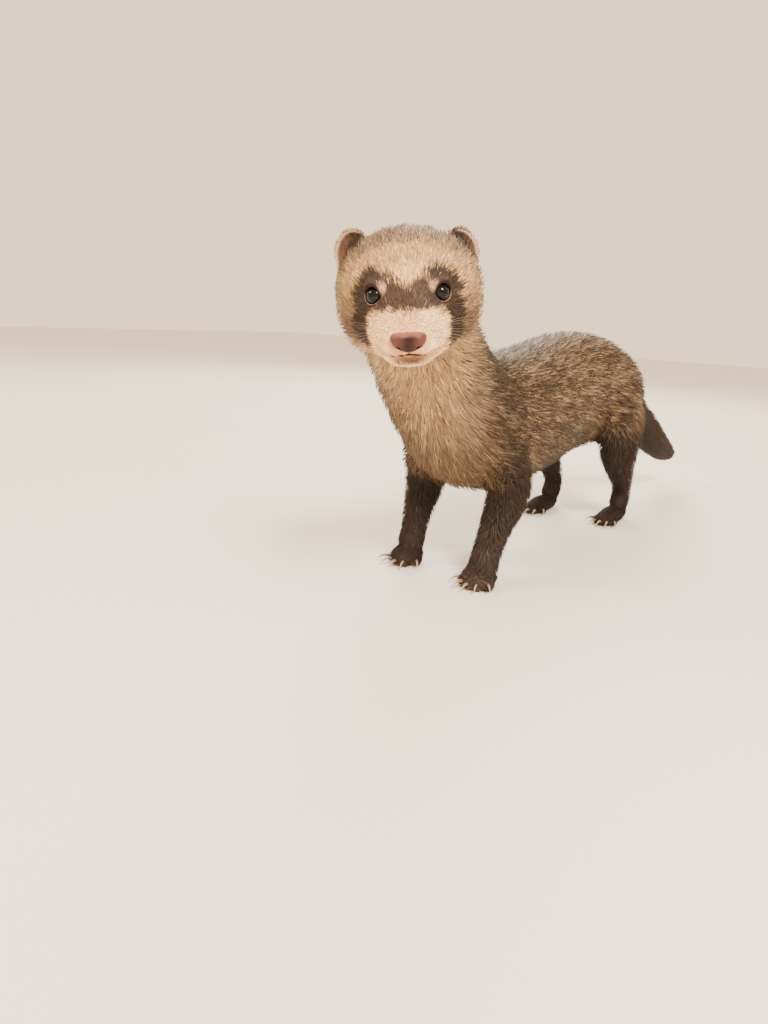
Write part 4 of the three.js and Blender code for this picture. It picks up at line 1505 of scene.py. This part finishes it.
def make_whiskers():
    """Stiff brown hairs on the sides of the muzzle, swept back."""
    muzzle_out, muzzle_back = MUZZLE_SIDE
    parts = []
    for side in SIDES:
        for i in range(WHISKER_ROWS * WHISKERS_IN_ROW):
            row, place = divmod(i, WHISKERS_IN_ROW)
            back = WHISKERS_FROM + WHISKERS_APART * place + ROWS_SET_BACK * row
            out = muzzle_out + MUZZLE_WIDENS * (back - muzzle_back)
            start = mirrored([out, back + NOSE_TIP_Y, ROWS_FROM_Z - ROWS_APART * row], side)
            way = unit(mirrored([0.78, 0.5 + 0.1 * place, 0.02 - 0.2 * row], side))
            length = WHISKER_LENGTH * (0.7 + 0.1 * (i * 5 % 4))
            t = np.linspace(0, 1, WHISKER_POINTS)[:, None]
            line = start + way * length * t + WHISKER_BEND * length * 0.4 * t * t
            radii = WHISKER_TAPER * (1 - t[:, 0]) ** 0.7 + WHISKER_TIP
            parts.append(tube(from_head(line), radii, WHISKER_SIDES, [0.2, 0.1, 1]))
    look = Look("whisker", 0.4, specular=0.4)
    look.paint(look.one_colour(WHISKER_BROWN), look.noise(500.0), 0.75, 1.1)
    finished(mesh_from("whiskers", *joined(parts)), look.material)


make_whiskers()

# Floor and lights
FLOOR_HALF = 3000.0
LIGHTS = {  # the place and the size of each in metres, then its power and its colour
    "key": ((0.72, -0.66, 0.95), 0.42, 29.0, (1.0, 0.94, 0.87)),
    "catch": ((-0.75, -0.85, 0.85), 0.3, 9.0, (1.0, 0.82, 0.62)),
    "rim": ((-0.6, 0.9, 0.9), 0.7, 20.0, (1.0, 0.95, 0.9)),
}
WORLD_STRENGTH = 1.9


def make_floor():
    corners = [[-1, -1, 0], [1, -1, 0], [1, 1, 0], [-1, 1, 0]]
    floor = mesh_from("floor", np.array(corners) * FLOOR_HALF, [[0, 1, 2, 3]], smooth=False)
    look = Look("floor", 0.75, specular=0.2)
    look.paint(look.one_colour(FLOOR_PALE), look.noise(3.0), 0.97, 1.0)
    floor.data.materials.append(look.material)


def add_lights():
    """Round soft lights turned towards the head, and an even pale world."""
    for name, (place, size, power, colour) in LIGHTS.items():
        light = bpy.data.lights.new(name, "AREA")
        light.shape = "DISK"
        light.size = size
        light.energy = power
        light.color = colour
        lamp = bpy.data.objects.new(name, light)
        aim = Vector(EYES_MIDDLE * MM) - Vector(place)
        lamp.location = place
        lamp.rotation_euler = aim.to_track_quat("-Z", "Y").to_euler()
        bpy.context.scene.collection.objects.link(lamp)
    world = bpy.data.worlds.new("studio")
    world.use_nodes = True
    background = world.node_tree.nodes["Background"]
    background.inputs["Color"].default_value = (*DAYLIGHT, 1)
    background.inputs["Strength"].default_value = WORLD_STRENGTH
    bpy.context.scene.world = world


make_floor()
add_lights()
